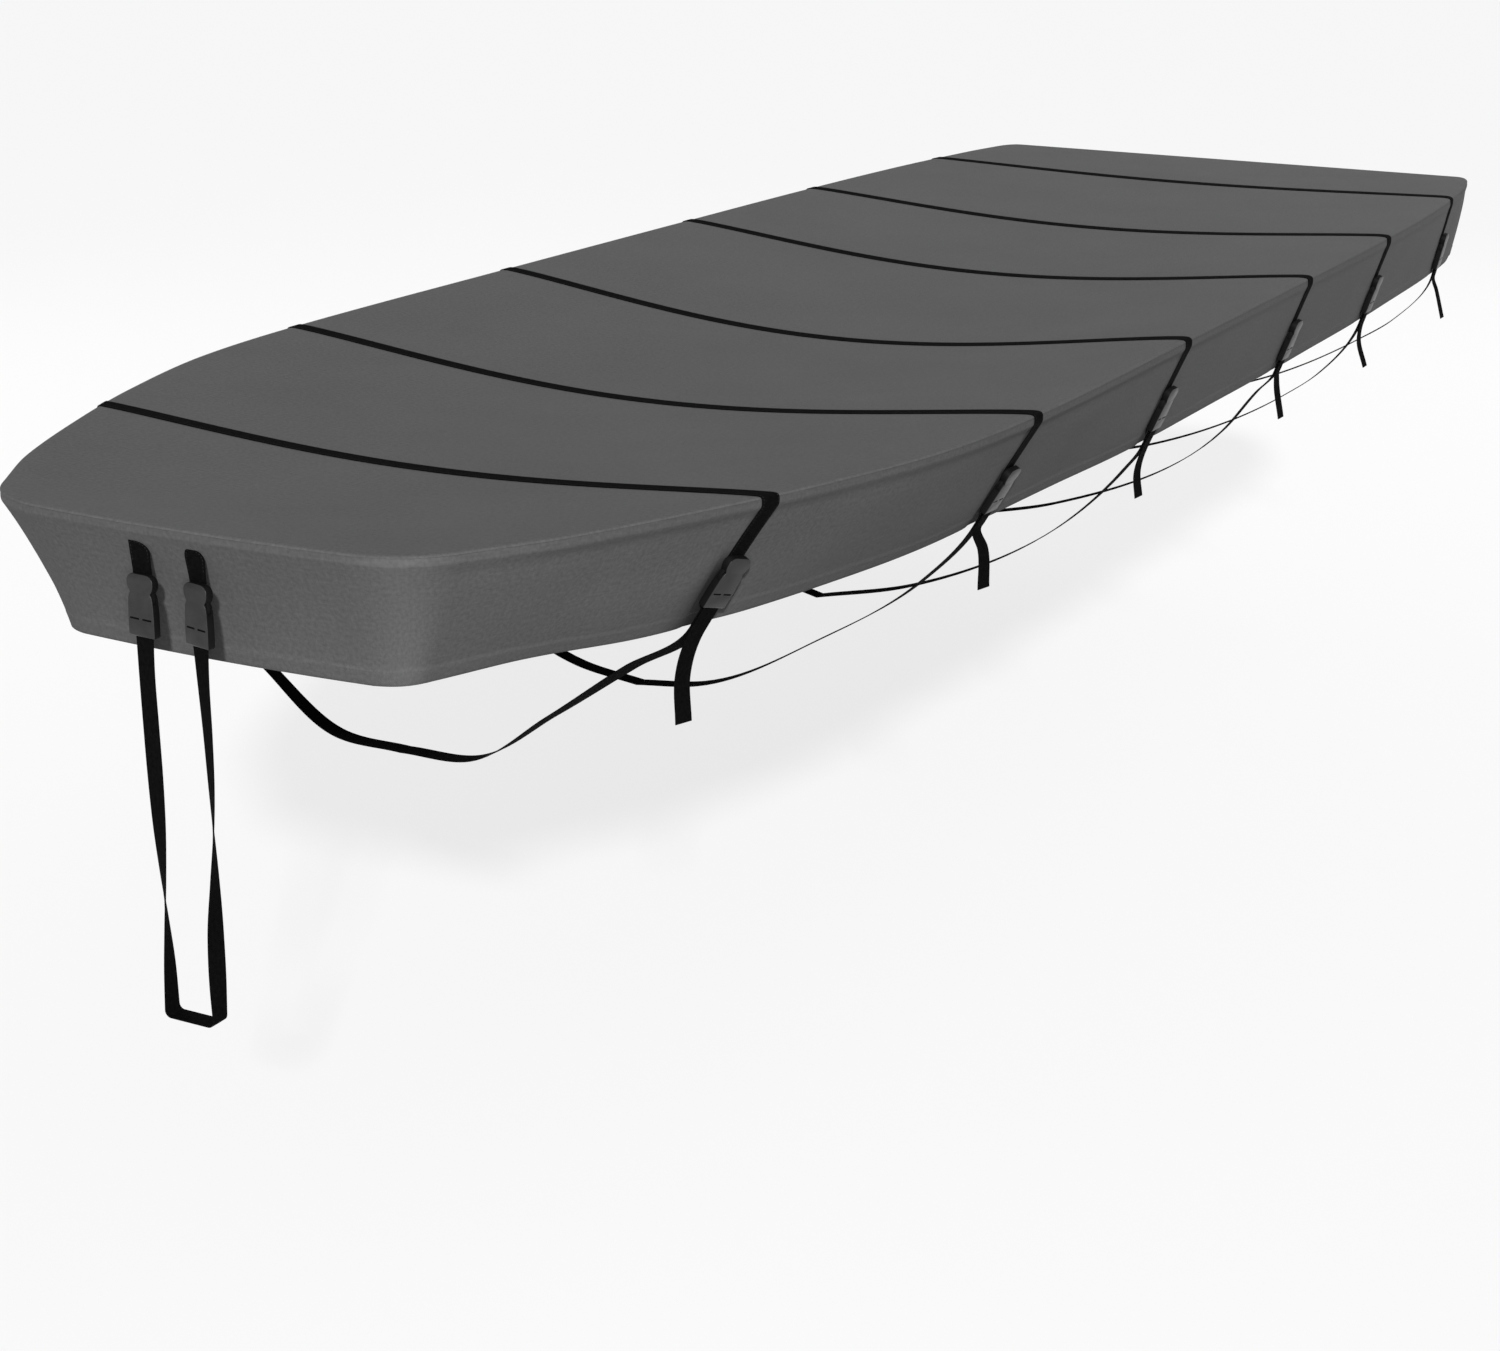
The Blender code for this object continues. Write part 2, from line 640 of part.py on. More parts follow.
def build():
    for old in list(bpy.data.objects):
        bpy.data.objects.remove(old)
    cloth = principled(*GREY_CLOTH)
    webbing = principled(*BLACK_WEBBING)
    plastic = principled(*DARK_PLASTIC)
    build_cover(cloth)
    for index, strap in enumerate(STRAPS):
        build_over_strap(index, strap, webbing)
        build_hull_strap(index, strap, webbing)
        port = side_seat(strap)
        build_buckle(f"side_buckle_port_{index + 1}", port, plastic)
        build_buckle(f"side_buckle_starboard_{index + 1}", mirrored_seat(port), plastic)
    for leg in LEGS:
        build_bow_tab(leg, webbing)
        build_buckle(f"bow_buckle_{leg.side}", bow_seat(leg), plastic)
    build_tongue_loop(webbing)


build()
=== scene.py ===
"""Looks of the fitted boat cover: cloth, webbing, buckles, stitching, light and camera.

The bow points along -Y, port is +X and +Z is up, in metres. Heights called rise are measured
from the gunwale line. The cloth hangs as ribs: each runs from the spine over the rolled edge
to the hem, and every strap and buckle is placed on those ribs.
"""

import math
from collections import namedtuple

import bmesh
import bpy
from mathutils import Matrix, Vector


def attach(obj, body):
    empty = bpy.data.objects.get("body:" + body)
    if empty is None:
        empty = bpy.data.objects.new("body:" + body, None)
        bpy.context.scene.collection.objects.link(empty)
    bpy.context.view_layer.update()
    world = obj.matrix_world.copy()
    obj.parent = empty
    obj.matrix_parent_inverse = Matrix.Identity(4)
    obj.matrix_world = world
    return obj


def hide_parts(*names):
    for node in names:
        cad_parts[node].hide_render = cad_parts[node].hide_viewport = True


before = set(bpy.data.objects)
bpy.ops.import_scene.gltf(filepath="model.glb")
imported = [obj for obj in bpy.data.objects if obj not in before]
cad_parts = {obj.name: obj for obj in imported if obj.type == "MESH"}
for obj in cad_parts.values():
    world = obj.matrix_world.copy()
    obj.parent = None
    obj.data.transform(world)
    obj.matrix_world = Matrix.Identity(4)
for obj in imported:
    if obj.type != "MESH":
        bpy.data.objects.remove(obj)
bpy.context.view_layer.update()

# ---- camera: the photograph's place and angle ----
CAMERA_X, CAMERA_Y, CAMERA_RISE = 2.14268, -4.81938, 0.8938
CAMERA_HEADING = math.radians(26.639)
CAMERA_TILT = math.radians(17.695)
CAMERA_ROLL = math.radians(0.896)
CAMERA_LENS = 67.15
SENSOR = 36.0

# ---- the cover's sizes, as in the solids but for thinner cloth and a tighter fold ----
LENGTH = 4.27
CLOTH = 0.002
CLOTH_SHOWN = 0.0010
LIE_GAP = 0.0005
WEBBING = 0.0016
WEB_WIDTH = 0.030
WEB_CORNER = 0.0005
WEB_CROWN = 0.00012
EDGE_SHARP = 0.45
EDGE_DEPTH_BASE = 0.006
EDGE_DEPTH_SLOPE = 0.35
SEAM_ANGLE = math.radians(24)
BOW_FLAT = 0.235
BOW_BULGE = 0.010
BOW_LEAN = 0.070
TRANSOM_FLAT = 0.570
TRANSOM_LEAN = 0.018
SIDE_START = -2.047
SIDE_END = 2.060
SPINE_BOW = -1.625
SPINE_STERN = 1.865
SAG_POWER = 1.15

# y, half breadth, lean of the hem, drop of the hem, sag, width of the rolled edge, rake, hollow
Station = namedtuple("Station", "y breadth lean drop sag roll rake hollow")
STATIONS = (
    Station(-2.047, 0.359, 0.087, 0.189, 0.023, 0.012, 0.00, 0.35),
    Station(-1.914, 0.434, 0.101, 0.185, 0.025, 0.012, 0.00, 0.30),
    Station(-1.706, 0.519, 0.101, 0.185, 0.028, 0.012, 0.18, 0.20),
    Station(-1.503, 0.589, 0.099, 0.184, 0.034, 0.012, 0.19, 0.12),
    Station(-1.240, 0.654, 0.099, 0.181, 0.046, 0.012, 0.06, 0.05),
    Station(-0.927, 0.680, 0.096, 0.180, 0.055, 0.013, 0.00, 0.05),
    Station(-0.265, 0.684, 0.073, 0.186, 0.066, 0.015, 0.00, 0.05),
    Station(0.488, 0.684, 0.060, 0.185, 0.052, 0.018, 0.00, 0.05),
    Station(1.016, 0.682, 0.053, 0.183, 0.038, 0.022, 0.00, 0.05),
    Station(1.527, 0.668, 0.042, 0.180, 0.021, 0.025, 0.00, 0.05),
    Station(1.921, 0.638, 0.030, 0.181, 0.008, 0.025, 0.00, 0.05),
    Station(2.060, 0.616, 0.028, 0.183, 0.006, 0.018, 0.00, 0.05),
)

# where each strap crosses, its points under the hull (out, rise), and its free tail
Strap = namedtuple("Strap", "y chine bilge keel keel_rise tail_mid tail_end tail_turn")
STRAPS = (
    Strap(-1.6055, (0.366, -0.257), (0.243, -0.347), (0.118, -0.430), -0.437,
          (0.438, -0.264), (0.440, -0.330), 20),
    Strap(-0.9527, (0.499, -0.286), (0.330, -0.404), (0.115, -0.514), -0.530,
          (0.599, -0.219), (0.603, -0.282), 14),
    Strap(-0.2617, (0.583, -0.239), (0.503, -0.327), (0.183, -0.508), -0.553,
          (0.606, -0.243), (0.611, -0.286), 6),
    Strap(0.4750, (0.594, -0.234), (0.530, -0.320), (0.183, -0.513), -0.558,
          (0.632, -0.206), (0.646, -0.281), 3),
    Strap(1.0760, (0.551, -0.308), (0.477, -0.365), (0.183, -0.508), -0.553,
          (0.634, -0.222), (0.652, -0.282), 0),
    Strap(1.7450, (0.542, -0.295), (0.461, -0.352), (0.173, -0.492), -0.532,
          (0.637, -0.217), (0.656, -0.281), 0),
)
STRAP_RAKE_AT_CHINE = -0.035
STRAP_RAKE_AT_KEEL = -0.042
BILGE_SHARE = 0.6
STRAP_END_SHARE = 0.49
STRAP_CLEAR = 0.07

BUCKLE_LENGTH = 0.082
BUCKLE_THICK = 0.012
BUCKLE_LIFT = WEBBING + 2.2 * LIE_GAP
BUCKLE_TOP_RISE = -0.083
WEB_MIDDLE = 0.006
FOLD_IN = 0.008
FOLD_RADIUS = 0.0019
HEM_PASS = 0.006
HEM_RUN = 0.010

# side, where the buckle hangs and how far it turns, the tab's middle at its top and at the buckle,
# what its top corners take off, and the leg's way down as (rise, across, degrees turned)
Leg = namedtuple("Leg", "side x yaw tab_top tab_low starboard_cut port_cut way")
LEGS = (
    Leg("starboard", -0.0600, math.radians(5), -0.0695, -0.0660, 0.0, 1.6,
        ((-0.190, -0.0608, 10), (-0.265, -0.0585, 10), (-0.334, -0.0561, 11),
         (-0.400, -0.0540, 19), (-0.470, -0.0520, 38), (-0.540, -0.0500, 62),
         (-0.600, -0.0485, 81), (-0.655, -0.0480, 90))),
    Leg("port", 0.0285, math.radians(13), 0.0168, 0.0200, 0.35, 0.9,
        ((-0.190, 0.0280, 23), (-0.265, 0.0315, 31), (-0.334, 0.0332, 39),
         (-0.390, 0.0332, 51), (-0.460, 0.0315, 73), (-0.533, 0.0292, 95),
         (-0.600, 0.0292, 99), (-0.655, 0.0300, 90))),
)
TAB_WIDTH = 0.032
TAB_TOP_RISE = -0.0255
TAB_ROUND = 0.013
TAB_TUCK = 0.018
BOW_BUCKLE_TOP_RISE = -0.065
LOOP_IN = 0.010
LOOP_CORNER = 0.009

# ---- how finely the cloth is drawn ----
TOP_ROWS, SKIRT_ROWS, HEM_ROWS = ((28, 26, 4))
ROLL_ROWS, UNDER_ROWS = ((8, 3))
BOW_RIBS, CORNER_RIBS, STERN_RIBS, SIDE_PITCH = ((16, 24, 20, 0.016))
FORE_RIBS = ((0.0195, 0.0235, 0.0275, 0.0355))
TOP_CROWDING = 0.85
CLOTH_SHARP_ANGLE = 60
WEBBING_SHARP_ANGLE = 40


# ---- the ribs, as in the solids but for the tighter fold ----
def station(y, column, rows=STATIONS):
    """Smooth value of one station column at y, held level past both ends."""
    y = min(max(y, rows[0].y), rows[-1].y)
    i = max(k for k in range(len(rows) - 1) if rows[k].y <= y)
    value = [getattr(row, column) for row in rows]
    slope = []
    for k in (i, i + 1):
        low = max(k - 1, 0)
        high = min(k + 1, len(rows) - 1)
        slope.append((value[high] - value[low]) / (rows[high].y - rows[low].y))
    span = rows[i + 1].y - rows[i].y
    t = (y - rows[i].y) / span
    return ((2 * t**3 - 3 * t**2 + 1) * value[i] + (t**3 - 2 * t**2 + t) * span * slope[0]
            + (3 * t**2 - 2 * t**3) * value[i + 1] + (t**3 - t**2) * span * slope[1])


GUNWALE_Z = station(0.0, "sag") + CLOTH


def smooth(t):
    t = min(max(t, 0.0), 1.0)
    return t * t * (3 - 2 * t)


def over(value, start, span):
    """0 up to start, 1 from start + span on, and smooth between."""
    return smooth((value - start) / span)


def mix(a, b, t):
    return a + (b - a) * t


Rib = namedtuple("Rib", "x y out_x out_y spine lean drop roll hollow")


def make_rib(x, y, out_x, out_y, lean):
    size = math.hypot(out_x, out_y)
    spine = min(max(y, SPINE_BOW), SPINE_STERN)
    return Rib(x, y, out_x / size, out_y / size, spine, lean, station(y, "drop"),
               station(y, "roll"), station(y, "hollow"))


def bow_line(x):
    return -LENGTH / 2 + BOW_BULGE * (x / BOW_FLAT) ** 2


def side_slope(y):
    step = 0.002
    low = max(y - step, STATIONS[0].y)
    high = min(y + step, STATIONS[-1].y)
    return (station(high, "breadth") - station(low, "breadth")) / (high - low)


def side_rib(y):
    """A rib on the side: square to the outline at the corners, straight across between them."""
    fore, aft = STRAPS[0].y - STRAP_CLEAR, STRAPS[-1].y + STRAP_CLEAR
    square = 1 - over(y, SIDE_START, fore - SIDE_START) + over(y, aft, SIDE_END - aft)
    out_y = -side_slope(y) * square + station(y, "rake") * (1 - square)
    return make_rib(station(y, "breadth"), y, 1.0, out_y, station(y, "lean"))


def corner_ribs(start, start_way, end, end_way, start_lean, end_lean):
    """Ribs inside a quadratic corner between two straight runs, square to the outline."""
    cross = start_way.x * end_way.y - start_way.y * end_way.x
    gap = end - start
    meet = start + start_way * ((gap.x * end_way.y - gap.y * end_way.x) / cross)
    ribs = []
    for k in range(1, CORNER_RIBS):
        t = k / CORNER_RIBS
        point = (1 - t) ** 2 * start + 2 * t * (1 - t) * meet + t * t * end
        way = (1 - t) * (meet - start) + t * (end - meet)
        ribs.append(make_rib(point.x, point.y, way.y, -way.x, mix(start_lean, end_lean, t)))
    return ribs


def edges_of(strap):
    return strap.y - WEB_WIDTH / 2, strap.y + WEB_WIDTH / 2


def side_places():
    """The side's ribs: at both edges of each strap, evenly between, and closer before a strap."""
    knots = [SIDE_START]
    for strap in STRAPS:
        knots += edges_of(strap)
    knots.append(SIDE_END)
    places = [knots[0]]
    for low, high in zip(knots, knots[1:]):
        steps = max(2, round((high - low) / SIDE_PITCH))
        places += [low + (high - low) * k / steps for k in range(1, steps + 1)]
    places += [strap.y - away for strap in STRAPS for away in FORE_RIBS]
    return sorted(places)


def half_ribs():
    """Ribs of the port half, from the middle of the bow to the middle of the transom."""
    ribs = []
    for k in range(BOW_RIBS + 1):
        x = BOW_FLAT * k / BOW_RIBS
        ribs.append(make_rib(x, bow_line(x), 2 * BOW_BULGE * x / BOW_FLAT**2, -1.0, BOW_LEAN))
    bow_way = Vector((1.0, 2 * BOW_BULGE / BOW_FLAT))
    side_way = Vector((side_slope(SIDE_START), 1.0))
    start = Vector((BOW_FLAT, bow_line(BOW_FLAT)))
    end = Vector((station(SIDE_START, "breadth"), SIDE_START))
    ribs += corner_ribs(start, bow_way, end, side_way, BOW_LEAN, STATIONS[0].lean)
    ribs += [side_rib(y) for y in side_places()]
    start = Vector((station(SIDE_END, "breadth"), SIDE_END))
    end = Vector((TRANSOM_FLAT, LENGTH / 2))
    way = Vector((side_slope(SIDE_END), 1.0))
    ribs += corner_ribs(start, way, end, Vector((-1.0, 0.0)), STATIONS[-1].lean, TRANSOM_LEAN)
    for k in range(STERN_RIBS + 1):
        x = TRANSOM_FLAT * (1 - k / STERN_RIBS)
        ribs.append(make_rib(x, LENGTH / 2, 0.0, 1.0, TRANSOM_LEAN))
    return ribs


def edge_depth(rib):
    return EDGE_DEPTH_BASE + EDGE_DEPTH_SLOPE * rib.roll


def place(rib, out, rise):
    return Vector((rib.x + rib.out_x * out, rib.y + rib.out_y * out, GUNWALE_Z + rise))


def face_way(rib, out, rise):
    return Vector((rib.out_x * out, rib.out_y * out, rise)).normalized()


def top_point(rib, t):
    """Sagging top between the spine and the start of the rolled edge."""
    spine = Vector((0.0, rib.spine, 0.0))
    edge = place(rib, -rib.roll, 0.0)
    point = spine.lerp(edge, t)
    sag = station(rib.spine, "sag") * max(math.cos(math.pi * t / 2), 0.0) ** SAG_POWER
    point.z = GUNWALE_Z - sag
    return point, Vector((0.0, 0.0, 1.0))


def edge_point(rib, angle):
    """Gunwale edge, from 90 degrees at the top, round a tight fold, to the lean of the skirt."""
    depth = edge_depth(rib)
    cosine, sine = math.cos(angle), math.sin(angle)
    if angle <= 0:
        return place(rib, depth * (cosine - 1), depth * (sine - 1)), face_way(rib, cosine, sine)
    out = rib.roll * (max(cosine, 0.0) ** EDGE_SHARP - 1)
    rise = depth * (sine ** EDGE_SHARP - 1)
    flank = 2 - EDGE_SHARP
    way = face_way(rib, max(cosine, 0.0) ** flank / rib.roll, sine ** flank / depth)
    return place(rib, out, rise), way


def skirt_angle(rib):
    return -math.atan2((1 + rib.hollow) * rib.lean, rib.drop)


def skirt_start(rib):
    """Where the skirt starts below the rolled edge, as out and rise from the gunwale."""
    depth, angle = edge_depth(rib), skirt_angle(rib)
    return depth * (math.cos(angle) - 1), depth * (math.sin(angle) - 1)


def skirt_point(rib, t):
    """Skirt from the rolled edge to the hem, leaning in and slightly hollow."""
    out0, rise0 = skirt_start(rib)
    run = -rib.lean - out0
    fall = -rib.drop - rise0
    out = out0 + run * ((1 + rib.hollow) * t - rib.hollow * t * t)
    rise = rise0 + fall * t
    out_rate = run * (1 + rib.hollow - 2 * rib.hollow * t)
    return place(rib, out, rise), face_way(rib, -fall, out_rate)


def skirt_t_at(rib, rise):
    rise0 = skirt_start(rib)[1]
    return (rise - rise0) / (-rib.drop - rise0)


# ---- meshes ----
def run_lengths(points):
    """How far along its polyline each point lies."""
    total, result = 0.0, [0.0]
    for a, b in zip(points, points[1:]):
        total += (b - a).length
        result.append(total)
    return result


def lifted(pair, lift):
    point, way = pair
    return point + way * lift, way


def between(pairs, share):
    """The place and the normal at a share of the way between two (point, normal) pairs."""
    (a, a_way), (b, b_way) = pairs
    return a.lerp(b, share), a_way.lerp(b_way, share).normalized()


def linked(name, data):
    thing = bpy.data.objects.new(name, data)
    bpy.context.collection.objects.link(thing)
    return thing


def mesh_from(work, name):
    mesh = bpy.data.meshes.new(name)
    work.to_mesh(mesh)
    work.free()
    return mesh


class Surface:
    """Collects faces with a cloth coordinate in metres at each corner, over shared points."""

    def __init__(self):
        self.points = []
        self.painted_light = []
        self.known = {}
        self.faces = []
        self.uvs = []

    def vertex(self, point, painted_light=0.0):
        key = tuple(round(value, 6) for value in point)
        if key not in self.known:
            self.known[key] = len(self.points)
            self.points.append(tuple(point))
            self.painted_light.append(painted_light)
        return self.known[key]

    def face(self, corners):
        """corners is a list of (point, (u, v)); corners that fall together are left out."""
        chosen = []
        for point, uv in corners:
            index = self.vertex(point)
            if index not in [entry[0] for entry in chosen]:
                chosen.append((index, uv))
        if len(chosen) > 2:
            self.faces.append([entry[0] for entry in chosen])
            self.uvs.extend(entry[1] for entry in chosen)

    def finish(self, name, material, sharp_angle=WEBBING_SHARP_ANGLE):
        mesh = bpy.data.meshes.new(name)
        mesh.from_pydata(self.points, [], self.faces)
        layer = mesh.uv_layers.new(name="cloth")
        for corner, uv in zip(layer.data, self.uvs):
            corner.uv = uv
        # each point's painted light: a painted highlight above 0, a painted shade below 0
        mesh.attributes.new("painted_light", "FLOAT", "POINT").data.foreach_set("value", self.painted_light)
        mesh.materials.append(material)
        mesh.update()
        work = bmesh.new()
        work.from_mesh(mesh)
        bmesh.ops.recalc_face_normals(work, faces=work.faces)
        work.to_mesh(mesh)
        work.free()
        mesh.shade_smooth()
        mesh.set_sharp_from_angle(angle=math.radians(sharp_angle))
        thing = linked(name, mesh)
        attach(thing, "root")
        return thing


def mirrored(rows):
    return [(Vector((-p.x, p.y, p.z)), Vector((-n.x, n.y, n.z))) for p, n in rows]


def around(half):
    """Both halves as one closed round: port from bow to stern, then starboard back again."""
    return half + [mirrored(rows) for rows in half[-2:0:-1]]


def shell(name, columns, uvs, painted_light, material):
    """Closed cloth: the outer face, the inner face, and the cut edges between them.

    columns hold (point, normal) rows; uvs hold one more column than columns, to close the round;
    the fourth argument gives each point of the outer face its painted light: a painted highlight
    above 0, a painted shade below 0.
    """
    surface = Surface()
    for rows, shares in zip(columns, painted_light):
        for (point, _), share in zip(rows, shares):
            surface.vertex(point, share)
    outer, inner = [[[(lifted(pair, lift)[0], uv) for pair, uv in zip(rows, column)]
                     for rows, column in zip(columns + columns[:1], uvs)]
                    for lift in (0.0, -CLOTH_SHOWN)]
    for a, b, c, d in zip(outer, outer[1:], inner, inner[1:]):
        for k in range(len(a) - 1):
            surface.face([a[k], a[k + 1], b[k + 1], b[k]])
            surface.face([d[k], d[k + 1], c[k + 1], c[k]])
        for k in (0, -1):
            surface.face([a[k], c[k], d[k], b[k]])
    return surface.finish(name, material, CLOTH_SHARP_ANGLE)


def ribbon_sections(path):
    """Rounded sections of flat webbing along a path of (point, width direction)."""
    half, thick, corner = WEB_WIDTH / 2, WEBBING / 2, WEB_CORNER
    outline = [(-half, -thick + corner), (-half, thick - corner), (-half + corner, thick),
               (0.0, thick + WEB_CROWN), (half - corner, thick), (half, thick - corner),
               (half, -thick + corner), (half - corner, -thick), (0.0, -thick - WEB_CROWN),
               (-half + corner, -thick)]
    points = [point for point, _ in path]
    sections = []
    for k, ((point, across), run) in enumerate(zip(path, run_lengths(points))):
        along = (points[min(k + 1, len(path) - 1)] - points[max(k - 1, 0)]).normalized()
        side = (across - along * across.dot(along)).normalized()
        up = along.cross(side).normalized()
        sections.append([(point + side * a + up * b, (run, a)) for a, b in outline])
    return sections


def band(name, sections, material):
    """Closed body through sections of (point, cloth coordinate), capped at both ends."""
    surface = Surface()
    for low, high in zip(sections, sections[1:]):
        for k in range(len(low)):
            m = (k + 1) % len(low)
            surface.face([low[k], low[m], high[m], high[k]])
    surface.face(sections[0])
    surface.face(sections[-1])
    return surface.finish(name, material)


def curve_through(knots, steps):
    """Smooth curve through (point, width direction) knots, steps to each span."""
    spans = [(b[0] - a[0]).length for a, b in zip(knots, knots[1:])]
    rates = [[(b[m] - a[m]) / span for m in (0, 1)] for a, b, span in zip(knots, knots[1:], spans)]
    last = len(knots) - 1
    tangents = [rates[0]]
    for k in range(1, last):
        share = spans[k - 1] / (spans[k - 1] + spans[k])
        tangents.append([rates[k - 1][m].lerp(rates[k][m], share) for m in (0, 1)])
    tangents.append(rates[-1])
    result = [knots[0]]
    for k in range(last):
        for step in range(1, steps + 1):
            t = step / steps
            pair = []
            for m in (0, 1):
                pair.append(knots[k][m].lerp(knots[k + 1][m], smooth(t))
                            + tangents[k][m] * spans[k] * (t**3 - 2 * t**2 + t)
                            + tangents[k + 1][m] * spans[k] * (t**3 - t**2))
            result.append((pair[0], pair[1].normalized()))
    return result


# ---- materials ----
class Shader:
    """A Principled material with short calls for its node graph."""

    def __init__(self, name, roughness, sheen=0.0, specular=0.5):
        self.material = bpy.data.materials.new(name)
        self.material.use_nodes = True
        self.tree = self.material.node_tree
        self.shader = self.tree.nodes["Principled BSDF"]
        self.set("Roughness", roughness)
        self.set("Specular IOR Level", specular)
        self.set("Sheen Weight", sheen)
        self.set("Sheen Roughness", 0.5)

    def feed(self, made, key, value):
        """Gives a node's input a constant, or another node's output."""
        if isinstance(value, bpy.types.NodeSocket):
            self.tree.links.new(value, made.inputs[key])
        else:
            made.inputs[key].default_value = value

    def set(self, key, value):
        self.feed(self.shader, key, value)

    def node(self, kind, inputs=(), **settings):
        made = self.tree.nodes.new("ShaderNode" + kind)
        for key, value in settings.items():
            setattr(made, key, value)
        for key, value in dict(inputs).items():
            self.feed(made, key, value)
        return made

    def math(self, operation, a, b=0.0):
        return self.node("Math", {0: a, 1: b}, operation=operation).outputs[0]

    def times(self, a, b):
        return self.math("MULTIPLY", a, b)

    def plus(self, a, b):
        return self.math("ADD", a, b)

    def cloth_axes(self):
        """The cloth's own two coordinates, in metres."""
        uv = self.node("UVMap", uv_map="cloth").outputs[0]
        parts = self.node("SeparateXYZ", {0: uv})
        return uv, parts.outputs[0], parts.outputs[1]

    def stretched(self, u, v, u_scale, v_scale):
        scaled = {0: self.times(u, u_scale), 1: self.times(v, v_scale)}
        return self.node("CombineXYZ", scaled).outputs[0]

    def noise(self, vector, scale, detail=3.0, roughness=0.55):
        inputs = {"Vector": vector, "Scale": scale, "Detail": detail, "Roughness": roughness}
        return self.node("TexNoise", inputs).outputs["Fac"]

    def share(self, value, low, high):
        """How far value has gone from low to high, 0 to 1."""
        return self.node("MapRange", {0: value, 1: low, 2: high}).outputs[0]

    def ramp(self, value, low, high, dark, light):
        return self.blend(self.share(value, low, high), (*dark, 1.0), (*light, 1.0))

    def blend(self, share, a, b):
        return self.node("Mix", {0: share, 6: a, 7: b}, data_type="RGBA").outputs[2]

    def bump(self, layers):
        """layers is a list of (height, depth in metres), the widest first."""
        normal = None
        for height, depth in layers:
            inputs = {"Height": height, "Distance": depth, "Strength": 1.0}
            if normal:
                inputs["Normal"] = normal
            normal = self.node("Bump", inputs).outputs[0]
        self.set("Normal", normal)


YARN = 0.0007
CLOTH_DARK = (0.068, 0.068, 0.069)
CLOTH_LIGHT = (0.104, 0.104, 0.105)
# colour of the painted highlight on the skirt's bow quarters
CLOTH_HIGHLIGHT = (0.128, 0.128, 0.129)
# colour of the painted shade on the skirt
CLOTH_PAINTED_SHADE = (0.008, 0.008, 0.008)


def polyester():
    """Tight plain weave: yarn crossings, uneven yarns, soft mottling, a painted highlight on the
    skirt's bow quarters, and painted shade under the fold and beside the straps.
    """
    s = Shader("polyester_weave", 0.86, sheen=0.026, specular=0.11)
    uv, u, v = s.cloth_axes()
    pitch = 2 * math.pi / YARN
    warp = s.math("SINE", s.times(u, pitch))
    weft = s.math("SINE", s.times(v, pitch))
    weave = s.times(warp, weft)
    slubs_u = s.noise(s.stretched(u, v, 14.0, 420.0), 1.0)
    slubs_v = s.noise(s.stretched(u, v, 420.0, 14.0), 1.0)
    slubs = s.plus(slubs_u, slubs_v)
    mottle = s.noise(uv, 170.0, 2.0, 0.5)
    cloud = s.noise(uv, 3.2, 3.0)
    tone = s.plus(s.plus(s.times(mottle, 0.6), s.times(slubs, 0.22)),
                  s.plus(s.times(cloud, 0.22), s.times(weave, 0.03)))
    # the painted light of each point: above 0 a painted highlight, below 0 a painted shade
    painted_light = s.node("Attribute", attribute_name="painted_light").outputs["Fac"]
    fresh = s.ramp(tone, 0.44, 0.84, CLOTH_DARK, CLOTH_LIGHT)
    # painted highlight: the cloth lightened towards the highlight colour where the attribute is
    # above 0, blotched by the mottle
    highlight_share = s.times(painted_light, s.plus(mottle, 0.25))
    highlighted_cloth = s.blend(highlight_share, fresh, (*CLOTH_HIGHLIGHT, 1.0))
    # painted shade: the cloth darkened where the attribute is below 0
    s.set("Base Color", s.blend(s.times(painted_light, -1.0), highlighted_cloth, (*CLOTH_PAINTED_SHADE, 1.0)))
    s.set("Roughness", s.plus(s.times(mottle, 0.12), 0.80))
    s.bump([(cloud, 0.0012), (mottle, 0.00030), (slubs, 0.00010), (weave, 0.00003)])
    return s.material


WEBBING_DARK = (0.0020, 0.0020, 0.0021)
WEBBING_LIGHT = (0.0052, 0.0052, 0.0054)
RIB_BAND = 0.0075
RIB_SLANT = 0.006
RIB_PITCH = 0.0018
WARP_PITCH = 0.0015


def webbing():
    """Black webbing: slanting herringbone ribs between two tight selvedges."""
    s = Shader("webbing_black", 0.85, specular=0.02)
    uv, u, v = s.cloth_axes()
    slant = s.math("ABSOLUTE", s.math("SUBTRACT", s.math("FRACT", s.times(v, 1 / RIB_BAND)), 0.5))
    slanted = s.plus(u, s.times(slant, RIB_SLANT))
    ribs = s.math("SINE", s.times(slanted, 2 * math.pi / RIB_PITCH))
    cords = s.math("SINE", s.times(v, 2 * math.pi / WARP_PITCH))
    mottle = s.noise(uv, 160.0, 3.0)
    tone = s.plus(mottle, s.times(ribs, 0.12))
    s.set("Base Color", s.ramp(tone, 0.30, 0.75, WEBBING_DARK, WEBBING_LIGHT))
    s.bump([(mottle, 0.0001), (ribs, 0.00014), (cords, 0.00008)])
    return s.material


def moulded_plastic(name, dark, light, roughness, specular):
    """Moulded acetal: fine spark-eroded grain, worn a little lighter on its edges."""
    s = Shader(name, roughness, specular=specular)
    at = s.node("TexCoord").outputs["Object"]
    grain = s.noise(at, 1400.0, 2.0)
    smudge = s.noise(at, 45.0, 3.0)
    edge = s.node("NewGeometry").outputs["Pointiness"]
    worn = s.share(edge, 0.52, 0.62)
    base = s.ramp(smudge, 0.3, 0.7, (dark,) * 3, (light,) * 3)
    s.set("Base Color", s.blend(s.times(worn, 0.4), base, (*(1.8 * light,) * 3, 1.0)))
    s.set("Roughness", s.plus(s.times(smudge, 0.16), roughness - 0.08))
    s.bump([(grain, 0.00003)])
    return s.material


